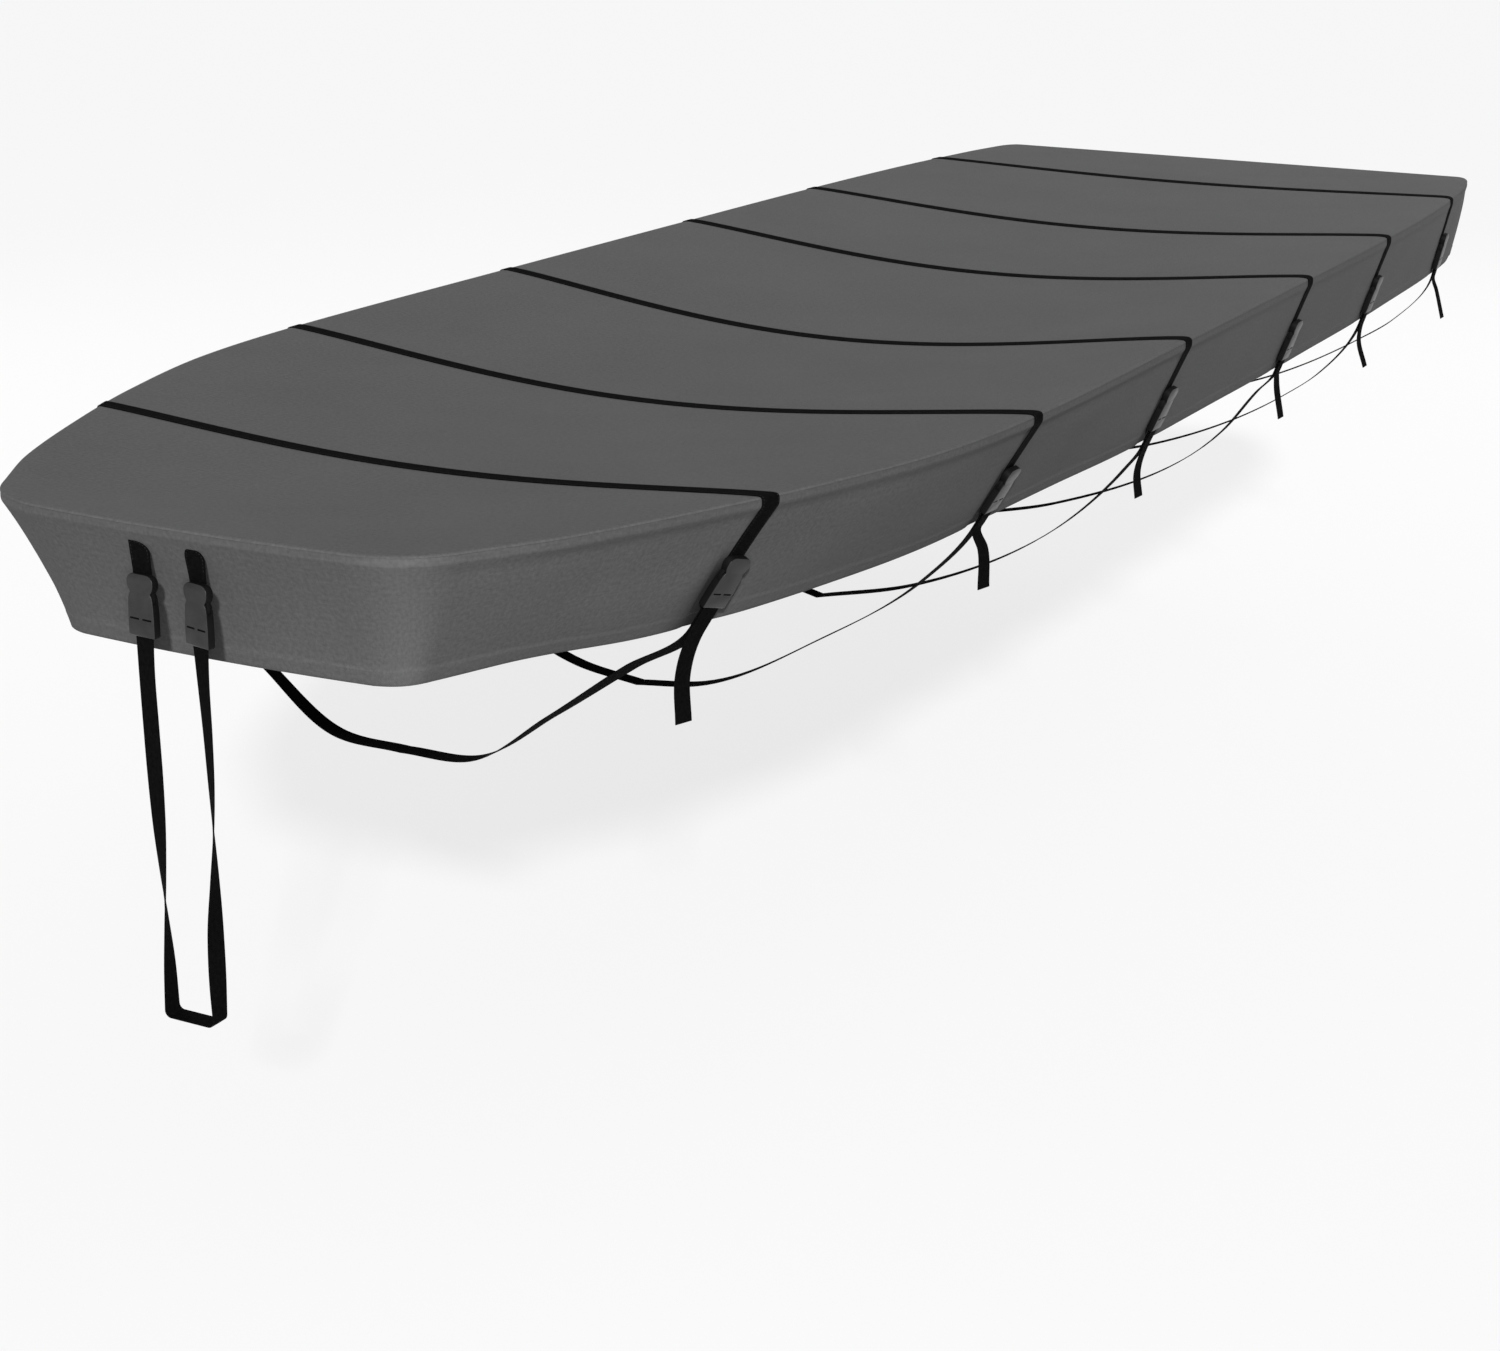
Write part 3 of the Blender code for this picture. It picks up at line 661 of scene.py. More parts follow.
def thread(name, colour):
    """Bonded sewing thread with its twist."""
    s = Shader(name, 0.6, sheen=0.05, specular=0.2)
    at = s.node("TexCoord").outputs["Object"]
    twist = s.noise(at, 2600.0, 1.0)
    s.set("Base Color", s.ramp(twist, 0.3, 0.7, tuple(c * 0.8 for c in colour), colour))
    s.bump([(twist, 0.0001)])
    return s.material


# ---- cloth ----
# a pair of numbers here is where a change starts and over what span it runs; SWELL_FORE has
# one height for each strap
LAP_START = math.radians(78)
UNDERLAP = math.radians(34)
SEAM_LIFT = 0.0004
SKIN = 0.0002
TUCK_DEPTH = 0.0028
TUCK_AT = 0.012
TUCK_REACH = 0.018
TUCK_AFT = 0.45
TUCK_EASE = (-1.0, 1.5)
TUCK_FACING = (0.75, 0.2)
SWELL_FORE = (0.009, 0.008, 0.007, 0.003, 0.002, 0.002)
SWELL_AFT = 0.0030
SWELL_RISE = 0.012
SWELL_REACH = 0.055
SWELL_CLEAR = 0.023
SWELL_FADE = (0.08, 0.30)
SWELL_DOWN = (0.03, 0.09)
SWELL_HEM = (0.72, 0.28)
SWELL_LOSS = 0.7
BELLY = 0.006
BELLY_AFT = 0.4
BELLY_EASE = 0.6
BELLY_CLEAR = (0.06, 0.15)
BELLY_FACING = (0.6, 0.3)
HEM_DEPTH = 0.024
HEM_LIFT = 0.0004
HEM_ROUND = 0.0009
HEM_STEP = 0.004
SEAM_ROW = 0.0045
HEM_ROW = 0.0030
# the skirt's painted shade: a line under the fold, and a band on the bow's side of each strap that
# widens further down
FOLD_SHADE = 0.20
FOLD_SHADE_REACH = 0.026
DIP_SHADE = 0.95
DIP_AT = 0.010
DIP_DOWN = (0.06, 0.05)
DIP_WIDENS = (0.07, 0.08)
DIP_NARROW = 0.018
DIP_WIDE = 0.040
# the skirt's painted highlight: its strength, the heading in degrees from the bow where it is
# strongest, and its spread in degrees
HIGHLIGHT_STRENGTH = 0.45
HIGHLIGHT_HEADING = 34
HIGHLIGHT_SPREAD = 17


def lap_lift(angle):
    """How far the top stands off at an angle of the rolled edge, where it laps over the skirt."""
    return SEAM_LIFT * smooth((LAP_START - angle) / (LAP_START - SEAM_ANGLE))


def top_rows(rib):
    """From the spine over the rolled edge to the edge of the lap."""
    rows = [top_point(rib, (k / TOP_ROWS) ** TOP_CROWDING) for k in range(TOP_ROWS + 1)]
    for k in range(1, ROLL_ROWS + 1):
        angle = mix(math.pi / 2, SEAM_ANGLE, k / ROLL_ROWS)
        rows.append(lifted(edge_point(rib, angle), lap_lift(angle)))
    return rows


def roll_rows(rib, count, lift):
    """Down the rolled edge from the seam to the skirt, its lift fading out."""
    shares = [k / ROLL_ROWS for k in range(1, count)]
    return [lifted(edge_point(rib, mix(SEAM_ANGLE, skirt_angle(rib), t)), lift * (1 - smooth(t)))
            for t in shares]


def tuck(rib, below):
    """The cloth drawn in under the gunwale's lip along the sides, most in the bow half."""
    share = mix(1.0, TUCK_AFT, over(rib.y, *TUCK_EASE)) * over(rib.out_x, *TUCK_FACING)
    depth = math.exp(-((below - TUCK_AT) / TUCK_REACH) ** 2) * smooth(below / TUCK_AT)
    return -TUCK_DEPTH * share * depth


def swell(rib, below):
    """The slack beside each strap, which holds the cloth in, hardest on the bow's side."""
    total = 0.0
    for strap, height in zip(STRAPS, SWELL_FORE):
        away = max(abs(rib.y - strap.y) - SWELL_CLEAR, 0.0)
        if rib.y < strap.y:
            total += height * (1 - math.exp(-away / SWELL_RISE)) * (1 - over(away, *SWELL_FADE))
        else:
            total += SWELL_AFT * away / SWELL_REACH * math.exp(1 - away / SWELL_REACH)
    return total * over(below, *SWELL_DOWN) * (1 - SWELL_LOSS * over(below / rib.drop, *SWELL_HEM))


def belly(rib, t):
    """The skirt's slight fullness between the straps, most in the bow half."""
    clear = min(over(abs(rib.y - strap.y), *BELLY_CLEAR) for strap in STRAPS)
    share = mix(1.0, BELLY_AFT, over(rib.y, STRAPS[0].y, BELLY_EASE))
    share *= over(rib.out_x, *BELLY_FACING)
    return BELLY * clear * share * math.sin(math.pi * t)


def skirt_form(rib, t):
    point, way = skirt_point(rib, t)
    below = t * (rib.drop - edge_depth(rib))
    return point + way * (tuck(rib, below) + swell(rib, below) + belly(rib, t)), way


def painted_highlight(rib):
    """Painted highlight on the skirt: strongest where it faces the bow's quarters."""
    heading = math.degrees(math.atan2(abs(rib.out_x), -rib.out_y))
    return HIGHLIGHT_STRENGTH * math.exp(-((heading - HIGHLIGHT_HEADING) / HIGHLIGHT_SPREAD) ** 2)


def painted_shade(rib, below):
    """The skirt's painted shade: under the fold, and where it dips to a strap on the bow's side."""
    spread = mix(DIP_NARROW, DIP_WIDE, over(below, *DIP_WIDENS))
    total = 0.0
    # painted shade beside each strap, as strong as that strap's swell
    for strap, height in zip(STRAPS, SWELL_FORE):
        away = strap.y - rib.y - DIP_AT
        if away > -2 * DIP_AT:
            total += height / SWELL_FORE[0] * math.exp(-(max(away, 0.0) / spread) ** 2)
    # painted shade just under the fold
    fold = FOLD_SHADE * (1 - smooth(below / FOLD_SHADE_REACH))
    return DIP_SHADE * total * over(below, *DIP_DOWN) + fold


def skirt_rows(rib):
    """From under the lap, down the skirt, to the folded hem."""
    rows = []
    for k in range(UNDER_ROWS + 1):
        angle = SEAM_ANGLE + UNDERLAP * (1 - k / UNDER_ROWS)
        rows.append(lifted(edge_point(rib, angle), lap_lift(angle) - CLOTH_SHOWN - SKIN))
    rows += roll_rows(rib, ROLL_ROWS, -(CLOTH_SHOWN + SKIN - SEAM_LIFT))
    fold = 1 - HEM_DEPTH / rib.drop
    rows += [skirt_form(rib, fold * k / SKIRT_ROWS) for k in range(SKIRT_ROWS + 1)]
    rows += [lifted(skirt_form(rib, mix(fold + HEM_STEP, 1.0, k / HEM_ROWS)), HEM_LIFT)
             for k in range(HEM_ROWS + 1)]
    rows.append(lifted(skirt_form(rib, 1.0 + HEM_ROUND / rib.drop), HEM_LIFT - CLOTH_SHOWN / 2))
    return rows


def along_rows(rows, back):
    """The place that lies back metres before the end of rows, with its normal."""
    rows = rows[::-1]
    runs = run_lengths([p for p, _ in rows])
    k = max(n for n in range(len(runs)) if runs[n] <= back)
    return between(rows[k:k + 2], (back - runs[k]) / (runs[k + 1] - runs[k]))


def build_cloth(material, sewing):
    half = half_ribs()
    whole = half + half[-2:0:-1]
    top = around([top_rows(rib) for rib in half])
    uvs = [[(p.x, p.y) for p, _ in rows] for rows in top]
    uvs.append(uvs[0])
    cover_top = shell("cover_top_cloth", top, uvs, [[0.0] * len(top[0])] * len(top), material)
    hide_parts("cover_top")

    skirt = around([skirt_rows(rib) for rib in half])
    runs = run_lengths([rows[0][0] for rows in skirt] + [skirt[0][0][0]])
    downs = [run_lengths([p for p, _ in rows]) for rows in skirt]
    downs.append(downs[0])
    uvs = [[(run, down) for down in column] for run, column in zip(runs, downs)]
    # each skirt point's painted light: the painted highlight on the bow's quarters less the painted
    # shade under the fold and beside the straps
    painted_light = [[painted_highlight(rib) - painted_shade(rib, GUNWALE_Z - p.z) for p, _ in rows]
            for rib, rows in zip(whole, skirt)]
    cover_skirt = shell("cover_skirt_cloth", skirt, uvs, painted_light, material)
    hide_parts("cover_skirt")

    seam = [along_rows(rows, SEAM_ROW) for rows in top]
    hem = [along_rows(rows, HEM_DEPTH - HEM_ROW) for rows in skirt]
    seam_sewing = stitching("seam_stitches", [seam + seam[:1]], sewing)
    hem_sewing = stitching("hem_stitches", [hem + hem[:1]], sewing)


# ---- stitching ----
STITCH_PITCH = 0.0045
STITCH_LENGTH = 0.0036
STITCH_WIDTH = 0.0009
STITCH_HEIGHT = 0.0005


def spaced(path, pitch):
    """Evenly spaced places along a path of (point, normal), each with its heading and normal."""
    runs = run_lengths([point for point, _ in path])
    result, k = [], 0
    for n in range(int(runs[-1] / pitch)):
        at = (n + 0.5) * pitch
        while runs[k + 1] < at:
            k += 1
        point, way = between(path[k:k + 2], (at - runs[k]) / (runs[k + 1] - runs[k]))
        result.append((point, (path[k + 1][0] - path[k][0]).normalized(), way))
    return result


def stitching(name, paths, material):
    """Rows of single stitches, each a little spindle of thread half sunk in the cloth."""
    surface = Surface()
    for path in paths:
        for point, along, out in spaced(path, STITCH_PITCH):
            side, up = along.cross(out) * (STITCH_WIDTH / 2), out * STITCH_HEIGHT
            ring = [point + side, point + up, point - side, point - up]
            for way in (-1, 1):
                end = point + along * (way * STITCH_LENGTH / 2) - up / 2
                for k in range(4):
                    corners = [ring[k], ring[(k + 1) % 4], end][::-way]
                    surface.face([(corner, (0.0, 0.0)) for corner in corners])
    return surface.finish(name, material)


# ---- buckle seats, as in the solids ----
class Seat:
    """Where a buckle lies: its upper end, the way down it, the way across it and the way out."""

    def __init__(self, top, down, across, hem):
        self.top = top
        self.hem = hem
        self.down = down.normalized()
        self.out = self.down.cross(across).normalized()
        self.across = self.out.cross(self.down)

    def at(self, down, across, out):
        return self.top + self.down * down + self.across * across + self.out * (BUCKLE_LIFT + out)


SEAT_STEP = 0.005


def side_seat(strap):
    """The buckle's seat on the skirt, from two points a buckle's length apart on it."""
    rib = side_rib(strap.y)
    high = skirt_t_at(rib, BUCKLE_TOP_RISE)
    top = skirt_point(rib, high)[0]
    low = high
    while (skirt_point(rib, low)[0] - top).length < BUCKLE_LENGTH:
        low += SEAT_STEP
    bottom = skirt_point(rib, low)[0]
    fore, aft = (skirt_point(side_rib(y), (high + low) / 2)[0] for y in edges_of(strap))
    hem = (skirt_point(rib, 1.0)[0] - top).dot((bottom - top).normalized())
    return Seat(top, bottom - top, aft - fore, hem)


def bow_seat(leg, share=1.0):
    """A bow buckle hangs plumb from where its tab is sewn, with that share of its own turn."""
    near_x = max(abs(leg.tab_top) - TAB_WIDTH / 2, 0.0)
    rib = make_rib(near_x, bow_line(near_x), 0.0, -1.0, BOW_LEAN)
    sewn = skirt_point(rib, skirt_t_at(rib, TAB_TOP_RISE))[0]
    top = Vector((leg.x, sewn.y, GUNWALE_Z + BOW_BUCKLE_TOP_RISE))
    yaw = leg.yaw * share
    return Seat(top, Vector((0.0, 0.0, -1.0)), Vector((math.cos(yaw), -math.sin(yaw), 0.0)), 0.0)


def mirrored_seat(seat):
    flip = Vector((-1.0, 1.0, 1.0))
    return Seat(seat.top * flip, seat.down * flip, -seat.across * flip, seat.hem)


# ---- webbing ----
FOLD_STEPS, TAIL_STEPS, HULL_STEPS = 10, 12, 14
LEG_STEPS, LOOP_CORNER_STEPS = 10, 10


def fold_points(seat):
    """The webbing's turn inside a buckle's lower mouth, from its inner side to its outer side."""
    points = []
    for k in range(FOLD_STEPS + 1):
        angle = math.pi * k / FOLD_STEPS
        down = BUCKLE_LENGTH - FOLD_IN - FOLD_RADIUS * math.sin(angle)
        points.append((seat.at(down, 0.0, WEB_MIDDLE - FOLD_RADIUS * math.cos(angle)), seat.across))
    return points


def strap_knot(strap, pair, rake, across):
    out, rise = pair
    return Vector((out, strap.y + rake, GUNWALE_Z + rise)), across.normalized()


def hull_strap_half(index, strap):
    """Port half of a hull strap, from the tip of its tail to the middle of the keel."""
    seat = side_seat(strap)
    foremost = 1.0 if index == 0 else 0.0
    turn = math.radians(strap.tail_turn)
    twisted = Vector((math.sin(turn), math.cos(turn), 0.0))
    lean_y = seat.at(BUCKLE_LENGTH, 0.0, WEB_MIDDLE).y - strap.y
    fold = fold_points(seat)
    below = seat.hem + HEM_PASS
    passing = [[(seat.at(below - back, 0.0, WEB_MIDDLE + side * FOLD_RADIUS), seat.across)
                for back in (0.0, HEM_RUN)] for side in (-1, 1)]
    tail = [strap_knot(strap, strap.tail_end, lean_y, twisted),
            strap_knot(strap, strap.tail_mid, lean_y, twisted + seat.across), *passing[1], fold[-1]]
    beam = Vector((0.0, 1.0, 0.0))
    chine_rake = lean_y + foremost * (STRAP_RAKE_AT_CHINE - lean_y)
    keel_rake = foremost * STRAP_RAKE_AT_KEEL
    hull = [fold[0], *passing[0][::-1],
            strap_knot(strap, strap.chine, chine_rake, seat.across),
            strap_knot(strap, strap.bilge, mix(chine_rake, keel_rake, BILGE_SHARE),
                       seat.across + beam),
            strap_knot(strap, strap.keel, keel_rake, beam),
            strap_knot(strap, (0.0, strap.keel_rise), keel_rake, beam)]
    return curve_through(tail, TAIL_STEPS)[:-1] + fold[::-1] + curve_through(hull, HULL_STEPS)[1:]


def build_hull_strap(index, strap, material):
    port = hull_strap_half(index, strap)
    path = port + mirrored(port[-2::-1])
    piece = band(f"hull_webbing_{index + 1}", ribbon_sections(path), material)
    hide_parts(f"hull_strap_{index + 1}")


def strap_rows(rib):
    """The way of an over strap: on the top and its lap, then down the skirt to the buckle."""
    rows = top_rows(rib) + roll_rows(rib, ROLL_ROWS + 1, SEAM_LIFT)
    reach = round(STRAP_END_SHARE * SKIRT_ROWS)
    return rows + [skirt_point(rib, STRAP_END_SHARE * k / reach) for k in range(1, reach + 1)]


def over_strap_path(strap):
    """(fore edge, aft edge) pairs of (point, normal) from the starboard end to the port end."""
    edges = []
    for y in edges_of(strap):
        down = strap_rows(side_rib(y))
        edges.append(mirrored(down[:0:-1]) + down)
    return list(zip(*edges))


STRAP_ROWS = (0.09, 0.91)
STRAP_LIE = 0.0002


def build_over_strap(index, strap, material, sewing):
    """Webbing sewn flat on the cloth, its section rounded at both selvedges."""
    half, corner = WEB_WIDTH / 2, WEB_CORNER
    profile = [(-1.0, corner), (-1.0, WEBBING - corner), (-1 + corner / half, WEBBING),
               (0.0, WEBBING + WEB_CROWN), (1 - corner / half, WEBBING), (1.0, WEBBING - corner),
               (1.0, corner), (0.0, 0.0)]
    path = over_strap_path(strap)
    sections = []
    for pair, run in zip(path, run_lengths([between(pair, 0.5)[0] for pair in path])):
        sections.append([(lifted(between(pair, (across + 1) / 2), STRAP_LIE + up)[0],
                          (run, across * half)) for across, up in profile])
    piece = band(f"over_webbing_{index + 1}", sections, material)
    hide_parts(f"over_strap_{index + 1}")
    lines = [[lifted(between(pair, share), WEBBING + SKIN) for pair in path]
             for share in STRAP_ROWS]
    sewn = stitching(f"over_webbing_stitches_{index + 1}", lines, sewing)


TAB_STEPS, TAB_LOW_STEPS = 12, 8
TAB_CORNER = 0.0004
TAB_SEWN_TO = -0.008
TAB_SEWN_IN = 0.003


def build_bow_tab(leg, material, sewing):
    """Short webbing sewn on under the seam: cut round at the top, its end behind the buckle."""
    length = TAB_TOP_RISE - BOW_BUCKLE_TOP_RISE
    half_width = TAB_WIDTH / 2
    rows = []
    for k in range(TAB_STEPS + 1):
        angle = math.pi / 2 * k / TAB_STEPS
        cut = 1 - math.sin(angle)
        rows.append((TAB_ROUND * (1 - math.cos(angle)) - length,
                     -half_width * (1 - leg.starboard_cut * cut),
                     half_width * (1 - leg.port_cut * cut)))
    for k in range(1, TAB_LOW_STEPS + 1):
        rows.append((mix(TAB_ROUND - length, TAB_TUCK, k / TAB_LOW_STEPS), -half_width, half_width))
    low, corner = LIE_GAP - BUCKLE_LIFT, TAB_CORNER
    high = low + WEBBING
    sections, lines = [], [[], []]
    for down, left, right in rows:
        share = min(down / length + 1.0, 1.0)
        seat = bow_seat(leg, share)
        middle = mix(leg.tab_top, leg.tab_low, share) - leg.x
        left, right = middle + left, middle + right
        profile = [(left, low + corner), (left, high - corner), (left + corner, high),
                   (right - corner, high), (right, high - corner), (right, low + corner),
                   (right - corner, low), (left + corner, low)]
        sections.append([(seat.at(down, a, b), (down, a)) for a, b in profile])
        if down < TAB_SEWN_TO:
            for line, place_at in zip(lines, (left + TAB_SEWN_IN, right - TAB_SEWN_IN)):
                line.append((seat.at(down, place_at, high), seat.out))
    piece = band(f"bow_tab_webbing_{leg.side}", sections, material)
    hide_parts(f"bow_tab_{leg.side}")
    sewn = stitching(f"bow_tab_stitches_{leg.side}", lines, sewing)


def leg_path(leg, inward):
    """One leg of the loop, from inside its buckle down to the corner of the bottom run."""
    seat = bow_seat(leg)
    start = seat.at(BUCKLE_LENGTH - LOOP_IN, 0.0, WEB_MIDDLE)
    knots = [(start, seat.across)]
    for rise, x, degrees in leg.way:
        turn = math.radians(degrees)
        knots.append((Vector((x, start.y, GUNWALE_Z + rise)),
                      Vector((math.cos(turn), -math.sin(turn), 0.0))))
    path = curve_through(knots, LEG_STEPS)
    corner, across = path[-1]
    for k in range(1, LOOP_CORNER_STEPS + 1):
        angle = math.pi / 2 * k / LOOP_CORNER_STEPS
        way = Vector((inward * (1 - math.cos(angle)), 0.0, -math.sin(angle)))
        path.append((corner + way * LOOP_CORNER, across))
    return path


def build_tongue_loop(material):
    starboard, port = (leg_path(leg, inward) for leg, inward in zip(LEGS, (1.0, -1.0)))
    piece = band("tongue_webbing", ribbon_sections(starboard + port[::-1]), material)
    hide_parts("tongue_loop")


# ---- buckles ----
# half width at each distance down the buckle, from its upper end
BUCKLE_OUTLINE = (
    (0.0000, 0.0118), (0.0006, 0.0150), (0.0020, 0.0182), (0.0042, 0.0204), (0.0072, 0.0218),
    (0.0105, 0.0222), (0.0140, 0.0220), (0.0175, 0.0211), (0.0205, 0.0196), (0.0228, 0.0179),
    (0.0240, 0.0172), (0.0252, 0.0178), (0.0268, 0.0190), (0.0292, 0.0199), (0.0340, 0.0207),
    (0.0430, 0.0214), (0.0560, 0.0219), (0.0700, 0.0220), (0.0796, 0.0219), (0.0812, 0.0214),
    (0.0820, 0.0206),
)
BUCKLE_EDGE = 0.0013
BUCKLE_EDGE_STEPS = 3
BUCKLE_HIGH_SLOPE, BUCKLE_LOW_SLOPE = 0.010, 0.010 / 3
BUCKLE_END_THIN = 0.30
BUCKLE_SHARP_ANGLE = 32
# faces looking out of the cloth get the plain plastic; all other faces get a darker copy of it, a
# painted shade
FACE_FROM, FACE_TILT = 0.0100, 0.6

# what is cut out: its low and high limits across, down and out, and how its edges are eased
MOUTH = ((-0.0158, 0.0690, 0.0028), (0.0158, 0.0900, 0.0092), 0.0005)
WINDOW = ((0.0166, 0.0215, 0.0026), (0.0260, 0.0372, 0.0094), 0.0008)
SLOT = ((0.0028, 0.0570, 0.0094), (0.0180, 0.0594, 0.0160), 0.0003)
PRONG_FROM, PRONG_TO = 0.0200, 0.0390
PRONG_OUT, PRONG_BOW = 0.0180, 0.0016
PRONG_WIDE, PRONG_THICK, PRONG_CROWN = 0.0030, 0.0024, 0.0004
PRONG_STEPS = 12


def buckle_ring(half, thick):
    """Rounded oblong section of a buckle, half wide and thick, about the middle of its depth."""
    ring = []
    for turn, (side_x, side_z) in enumerate(((1, 1), (-1, 1), (-1, -1), (1, -1))):
        for k in range(BUCKLE_EDGE_STEPS + 1):
            angle = math.pi / 2 * (turn + k / BUCKLE_EDGE_STEPS)
            ring.append((side_x * (half - BUCKLE_EDGE) + BUCKLE_EDGE * math.cos(angle),
                         side_z * (thick - BUCKLE_EDGE) + BUCKLE_EDGE * math.sin(angle)))
    return ring


def bridge(work, rings):
    """Faces between rings of vertices, and a cap at each end."""
    for low, high in zip(rings, rings[1:]):
        for k in range(len(low)):
            m = (k + 1) % len(low)
            work.faces.new([low[k], low[m], high[m], high[k]])
    work.faces.new(rings[0][::-1])
    work.faces.new(rings[-1])


def buckle_mesh():
    """One moulded side-release buckle: x across, y down from its upper end, z out of the cloth."""
    work = bmesh.new()
    rings = []
    for down, half in BUCKLE_OUTLINE:
        near = min(down / BUCKLE_HIGH_SLOPE, (BUCKLE_LENGTH - down) / BUCKLE_LOW_SLOPE, 1.0)
        thick = BUCKLE_THICK / 2 * (1 - BUCKLE_END_THIN * (1 - near) ** 2)
        ring = buckle_ring(half, thick)
        rings.append([work.verts.new((x, down, BUCKLE_THICK / 2 + z)) for x, z in ring])
    bridge(work, rings)
    bmesh.ops.recalc_face_normals(work, faces=work.faces)
    return mesh_from(work, "buckle_body")


def box_part(low, high, bevel):
    """A bevelled block for a cutter or a bar."""
    work = bmesh.new()
    bmesh.ops.create_cube(work, size=1.0)
    for vert in work.verts:
        vert.co = Vector(((low[m] + high[m]) / 2 + vert.co[m] * (high[m] - low[m])
                          for m in range(3)))
    bmesh.ops.bevel(work, geom=list(work.edges), offset=bevel, segments=2, profile=0.5,
                    affect="EDGES")
    return mesh_from(work, "block")


def carved(body, cutters):
    """body with every cutter taken away."""
    base = linked("carving", body)
    tools = [linked("cutter", mesh) for mesh in cutters]
    for tool in tools:
        change = base.modifiers.new("cut", "BOOLEAN")
        change.operation = "DIFFERENCE"
        change.solver = "EXACT"
        change.object = tool
    bpy.context.view_layer.update()
    graph = bpy.context.evaluated_depsgraph_get()
    result = bpy.data.meshes.new_from_object(base.evaluated_get(graph))
    for thing in [base] + tools:
        bpy.data.objects.remove(thing)
    return result


def finished_buckle(face_material, painted_shade_material):
    """The moulded body with its mouth, release windows, prongs and parting slots."""
    cutters = [box_part(*MOUTH)]
    for side in (-1, 1):
        for (low, *low_rest), (high, *high_rest), bevel in (WINDOW, SLOT):
            near, far = sorted((side * low, side * high))
            cutters.append(box_part((near, *low_rest), (far, *high_rest), bevel))
    mesh = carved(buckle_mesh(), cutters)
    mesh.materials.clear()
    mesh.materials.append(face_material)
    mesh.materials.append(painted_shade_material)
    work = bmesh.new()
    work.from_mesh(mesh)
    for side in (-1, 1):
        add_prong(work, side, BUCKLE_THICK / 2)
    bmesh.ops.recalc_face_normals(work, faces=work.faces)
    for face in work.faces:
        # faces not looking out get the darker copy: painted shade on the buckle's sides and edges
        facing = face.normal.z > FACE_TILT and face.calc_center_median().z > FACE_FROM
        face.material_index = 0 if facing else 1
    work.to_mesh(mesh)
    work.free()
    mesh.shade_smooth()
    mesh.set_sharp_from_angle(angle=math.radians(BUCKLE_SHARP_ANGLE))
    return mesh


def add_prong(work, side, middle):
    """The sprung arm that shows in a side window, bowed outwards to be squeezed."""
    thick = PRONG_THICK
    rings = []
    for k in range(PRONG_STEPS + 1):
        t = k / PRONG_STEPS
        down = mix(PRONG_FROM, PRONG_TO, t)
        outer = PRONG_OUT + PRONG_BOW * math.sin(math.pi * t)
        profile = ((outer - PRONG_WIDE, -thick), (outer, -thick), (outer + PRONG_CROWN, 0.0),
                   (outer, thick), (outer - PRONG_WIDE, thick))
        rings.append([work.verts.new((side * across, down, middle + out))
                      for across, out in profile])
    bridge(work, rings)


def place_buckle(name, node, mesh, seat):
    thing = linked(name, mesh.copy())
    flip = seat.across.cross(seat.down).dot(seat.out)
    across = seat.across * math.copysign(1.0, flip)
    turn = Matrix((across, seat.down, seat.out)).transposed()
    thing.data.transform(Matrix.Translation(seat.at(0.0, 0.0, 0.0)) @ turn.to_4x4())
    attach(thing, "root")
    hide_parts(node)


# ---- light, floor and camera ----
SKY_STRENGTH = 0.25
FLOOR_DROP = 1.12
FLOOR_REACH = 90.0
FLOOR_WHITE = 0.20
FLOOR_GLOW = 0.76


def pale_floor():
    """A floor that glows faintly, so that the shadow on it stays as pale as a lit studio's."""
    s = Shader("studio_floor", 0.9, specular=0.0)
    s.set("Base Color", (*(FLOOR_WHITE,) * 3, 1.0))
    s.set("Emission Color", (1.0, 1.0, 1.0, 1.0))
    s.set("Emission Strength", FLOOR_GLOW)
    work = bmesh.new()
    bmesh.ops.create_grid(work, x_segments=1, y_segments=1, size=FLOOR_REACH)
    floor = linked("studio_floor", mesh_from(work, "studio_floor"))
    floor.data.materials.append(s.material)
    floor.location = (0.0, 0.0, GUNWALE_Z - FLOOR_DROP)
    floor.visible_diffuse = False


def area_light(name, at, aim, size, power):
    data = bpy.data.lights.new(name, "AREA")
    data.shape = "RECTANGLE"
    data.size = data.size_y = size
    data.energy = power
    lamp = linked(name, data)
    lamp.location = at
    lamp.rotation_euler = (Vector(aim) - Vector(at)).to_track_quat("-Z", "Y").to_euler()


# name, place, aim, size in metres, power in watts
FILLS = (
    ("bow_fill", (1.7, -4.2, 0.3), (0.4, -2.0, -0.1), 0.8, 24),
    ("aft_fill", (3.0, 3.0, 4.4), (0.2, 1.4, 0.0), 3.0, 42),
    ("stern_fill", (0.0, 7.0, 2.6), (0.0, 1.8, 0.0), 3.0, 40),
    ("starboard_fill", (-6.0, 1.5, 2.5), (0.0, 0.5, 0.0), 3.0, 60),
)
KEY_AZIMUTH = math.radians(29)
KEY_ELEVATION = math.radians(28)
KEY_SPREAD = math.radians(4)
KEY_STRENGTH = 3.9


def way_to(azimuth, elevation):
    """The way to a place before the bow, turned to port and raised."""
    level = math.cos(elevation)
    return Vector((math.sin(azimuth) * level, -math.cos(azimuth) * level, math.sin(elevation)))


def key_light():
    """A far soft light, low before the bow and a little to port."""
    data = bpy.data.lights.new("key", "SUN")
    data.angle = KEY_SPREAD
    data.energy = KEY_STRENGTH
    source = way_to(KEY_AZIMUTH, KEY_ELEVATION)
    linked("key", data).rotation_euler = source.to_track_quat("Z", "Y").to_euler()


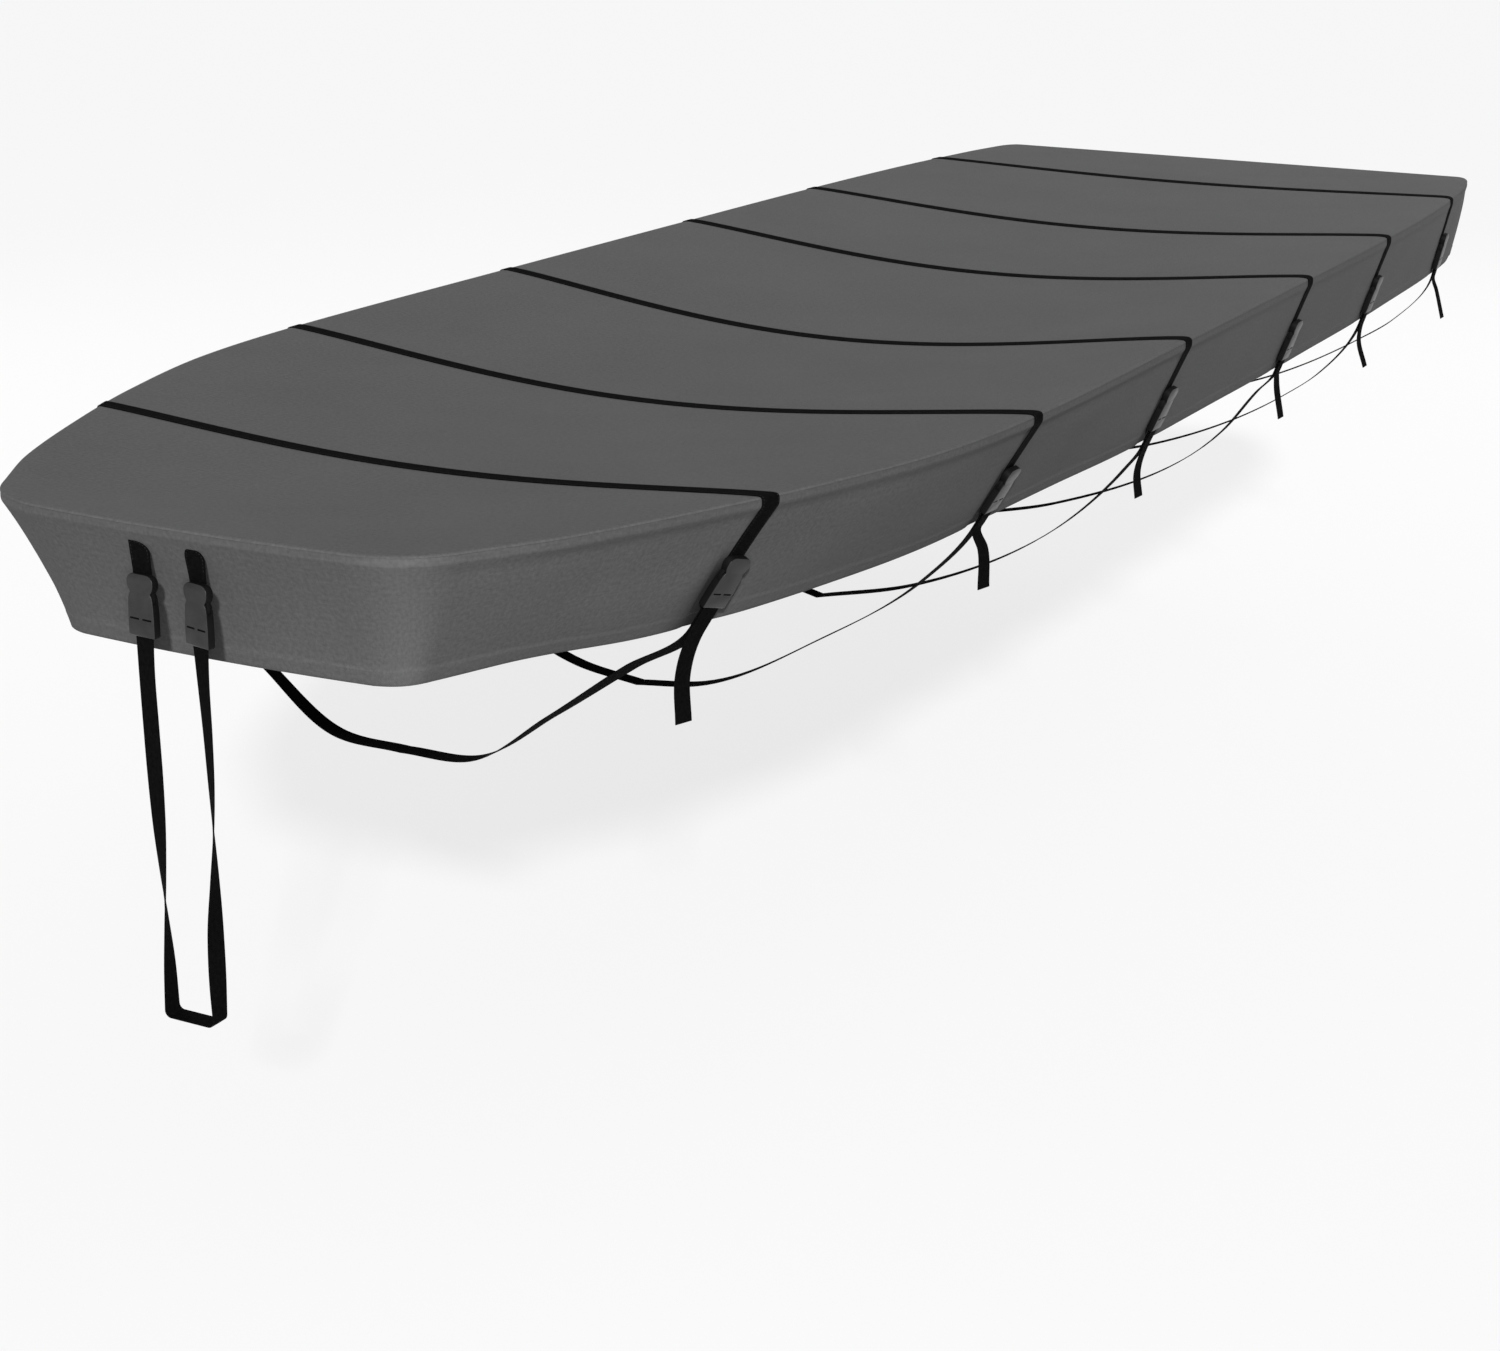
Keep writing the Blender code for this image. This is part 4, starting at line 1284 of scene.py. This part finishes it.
def studio():
    world = bpy.data.worlds.new("studio")
    bpy.context.scene.world = world
    world.use_nodes = True
    sky = world.node_tree.nodes["Background"]
    sky.inputs[0].default_value = (1.0, 1.0, 1.0, 1.0)
    sky.inputs[1].default_value = SKY_STRENGTH
    key_light()
    for lamp in FILLS:
        area_light(*lamp)


def camera():
    """The photograph's camera, turned and tilted, then rolled."""
    back, roll = way_to(CAMERA_HEADING, CAMERA_TILT), CAMERA_ROLL
    level = (-back).cross(Vector((0.0, 0.0, 1.0))).normalized()
    upright = level.cross(-back)
    right = level * math.cos(roll) + upright * math.sin(roll)
    up = upright * math.cos(roll) - level * math.sin(roll)
    data = bpy.data.cameras.new("camera")
    data.sensor_width = SENSOR
    data.sensor_fit = "HORIZONTAL"
    data.lens = CAMERA_LENS
    thing = linked("camera", data)
    turn = Matrix((right, up, back)).transposed().to_4x4()
    thing.matrix_world = Matrix.Translation((CAMERA_X, CAMERA_Y, CAMERA_RISE + GUNWALE_Z)) @ turn
    bpy.context.scene.camera = thing


def build():
    cloth, web = polyester(), webbing()
    face = moulded_plastic("buckle_acetal", 0.021, 0.031, 0.35, 0.13)
    # a darker copy of the same plastic for the buckle's sides: painted shade
    sides = moulded_plastic("buckle_acetal_painted_shade", 0.003, 0.005, 0.60, 0.08)
    build_cloth(cloth, thread("sewing_thread_grey", (0.060, 0.060, 0.061)))
    black_thread = thread("sewing_thread_black", (0.012, 0.012, 0.012))
    buckle = finished_buckle(face, sides)
    for index, strap in enumerate(STRAPS):
        build_over_strap(index, strap, web, black_thread)
        build_hull_strap(index, strap, web)
        port = side_seat(strap)
        for side, seat in (("port", port), ("starboard", mirrored_seat(port))):
            place_buckle(f"release_buckle_{side}_{index + 1}", f"side_buckle_{side}_{index + 1}",
                         buckle, seat)
    for leg in LEGS:
        build_bow_tab(leg, web, black_thread)
        place_buckle(f"bow_release_buckle_{leg.side}", f"bow_buckle_{leg.side}",
                     buckle, bow_seat(leg))
    build_tongue_loop(web)


camera()
studio()
pale_floor()
build()
bpy.context.scene.view_settings.view_transform = "Standard"
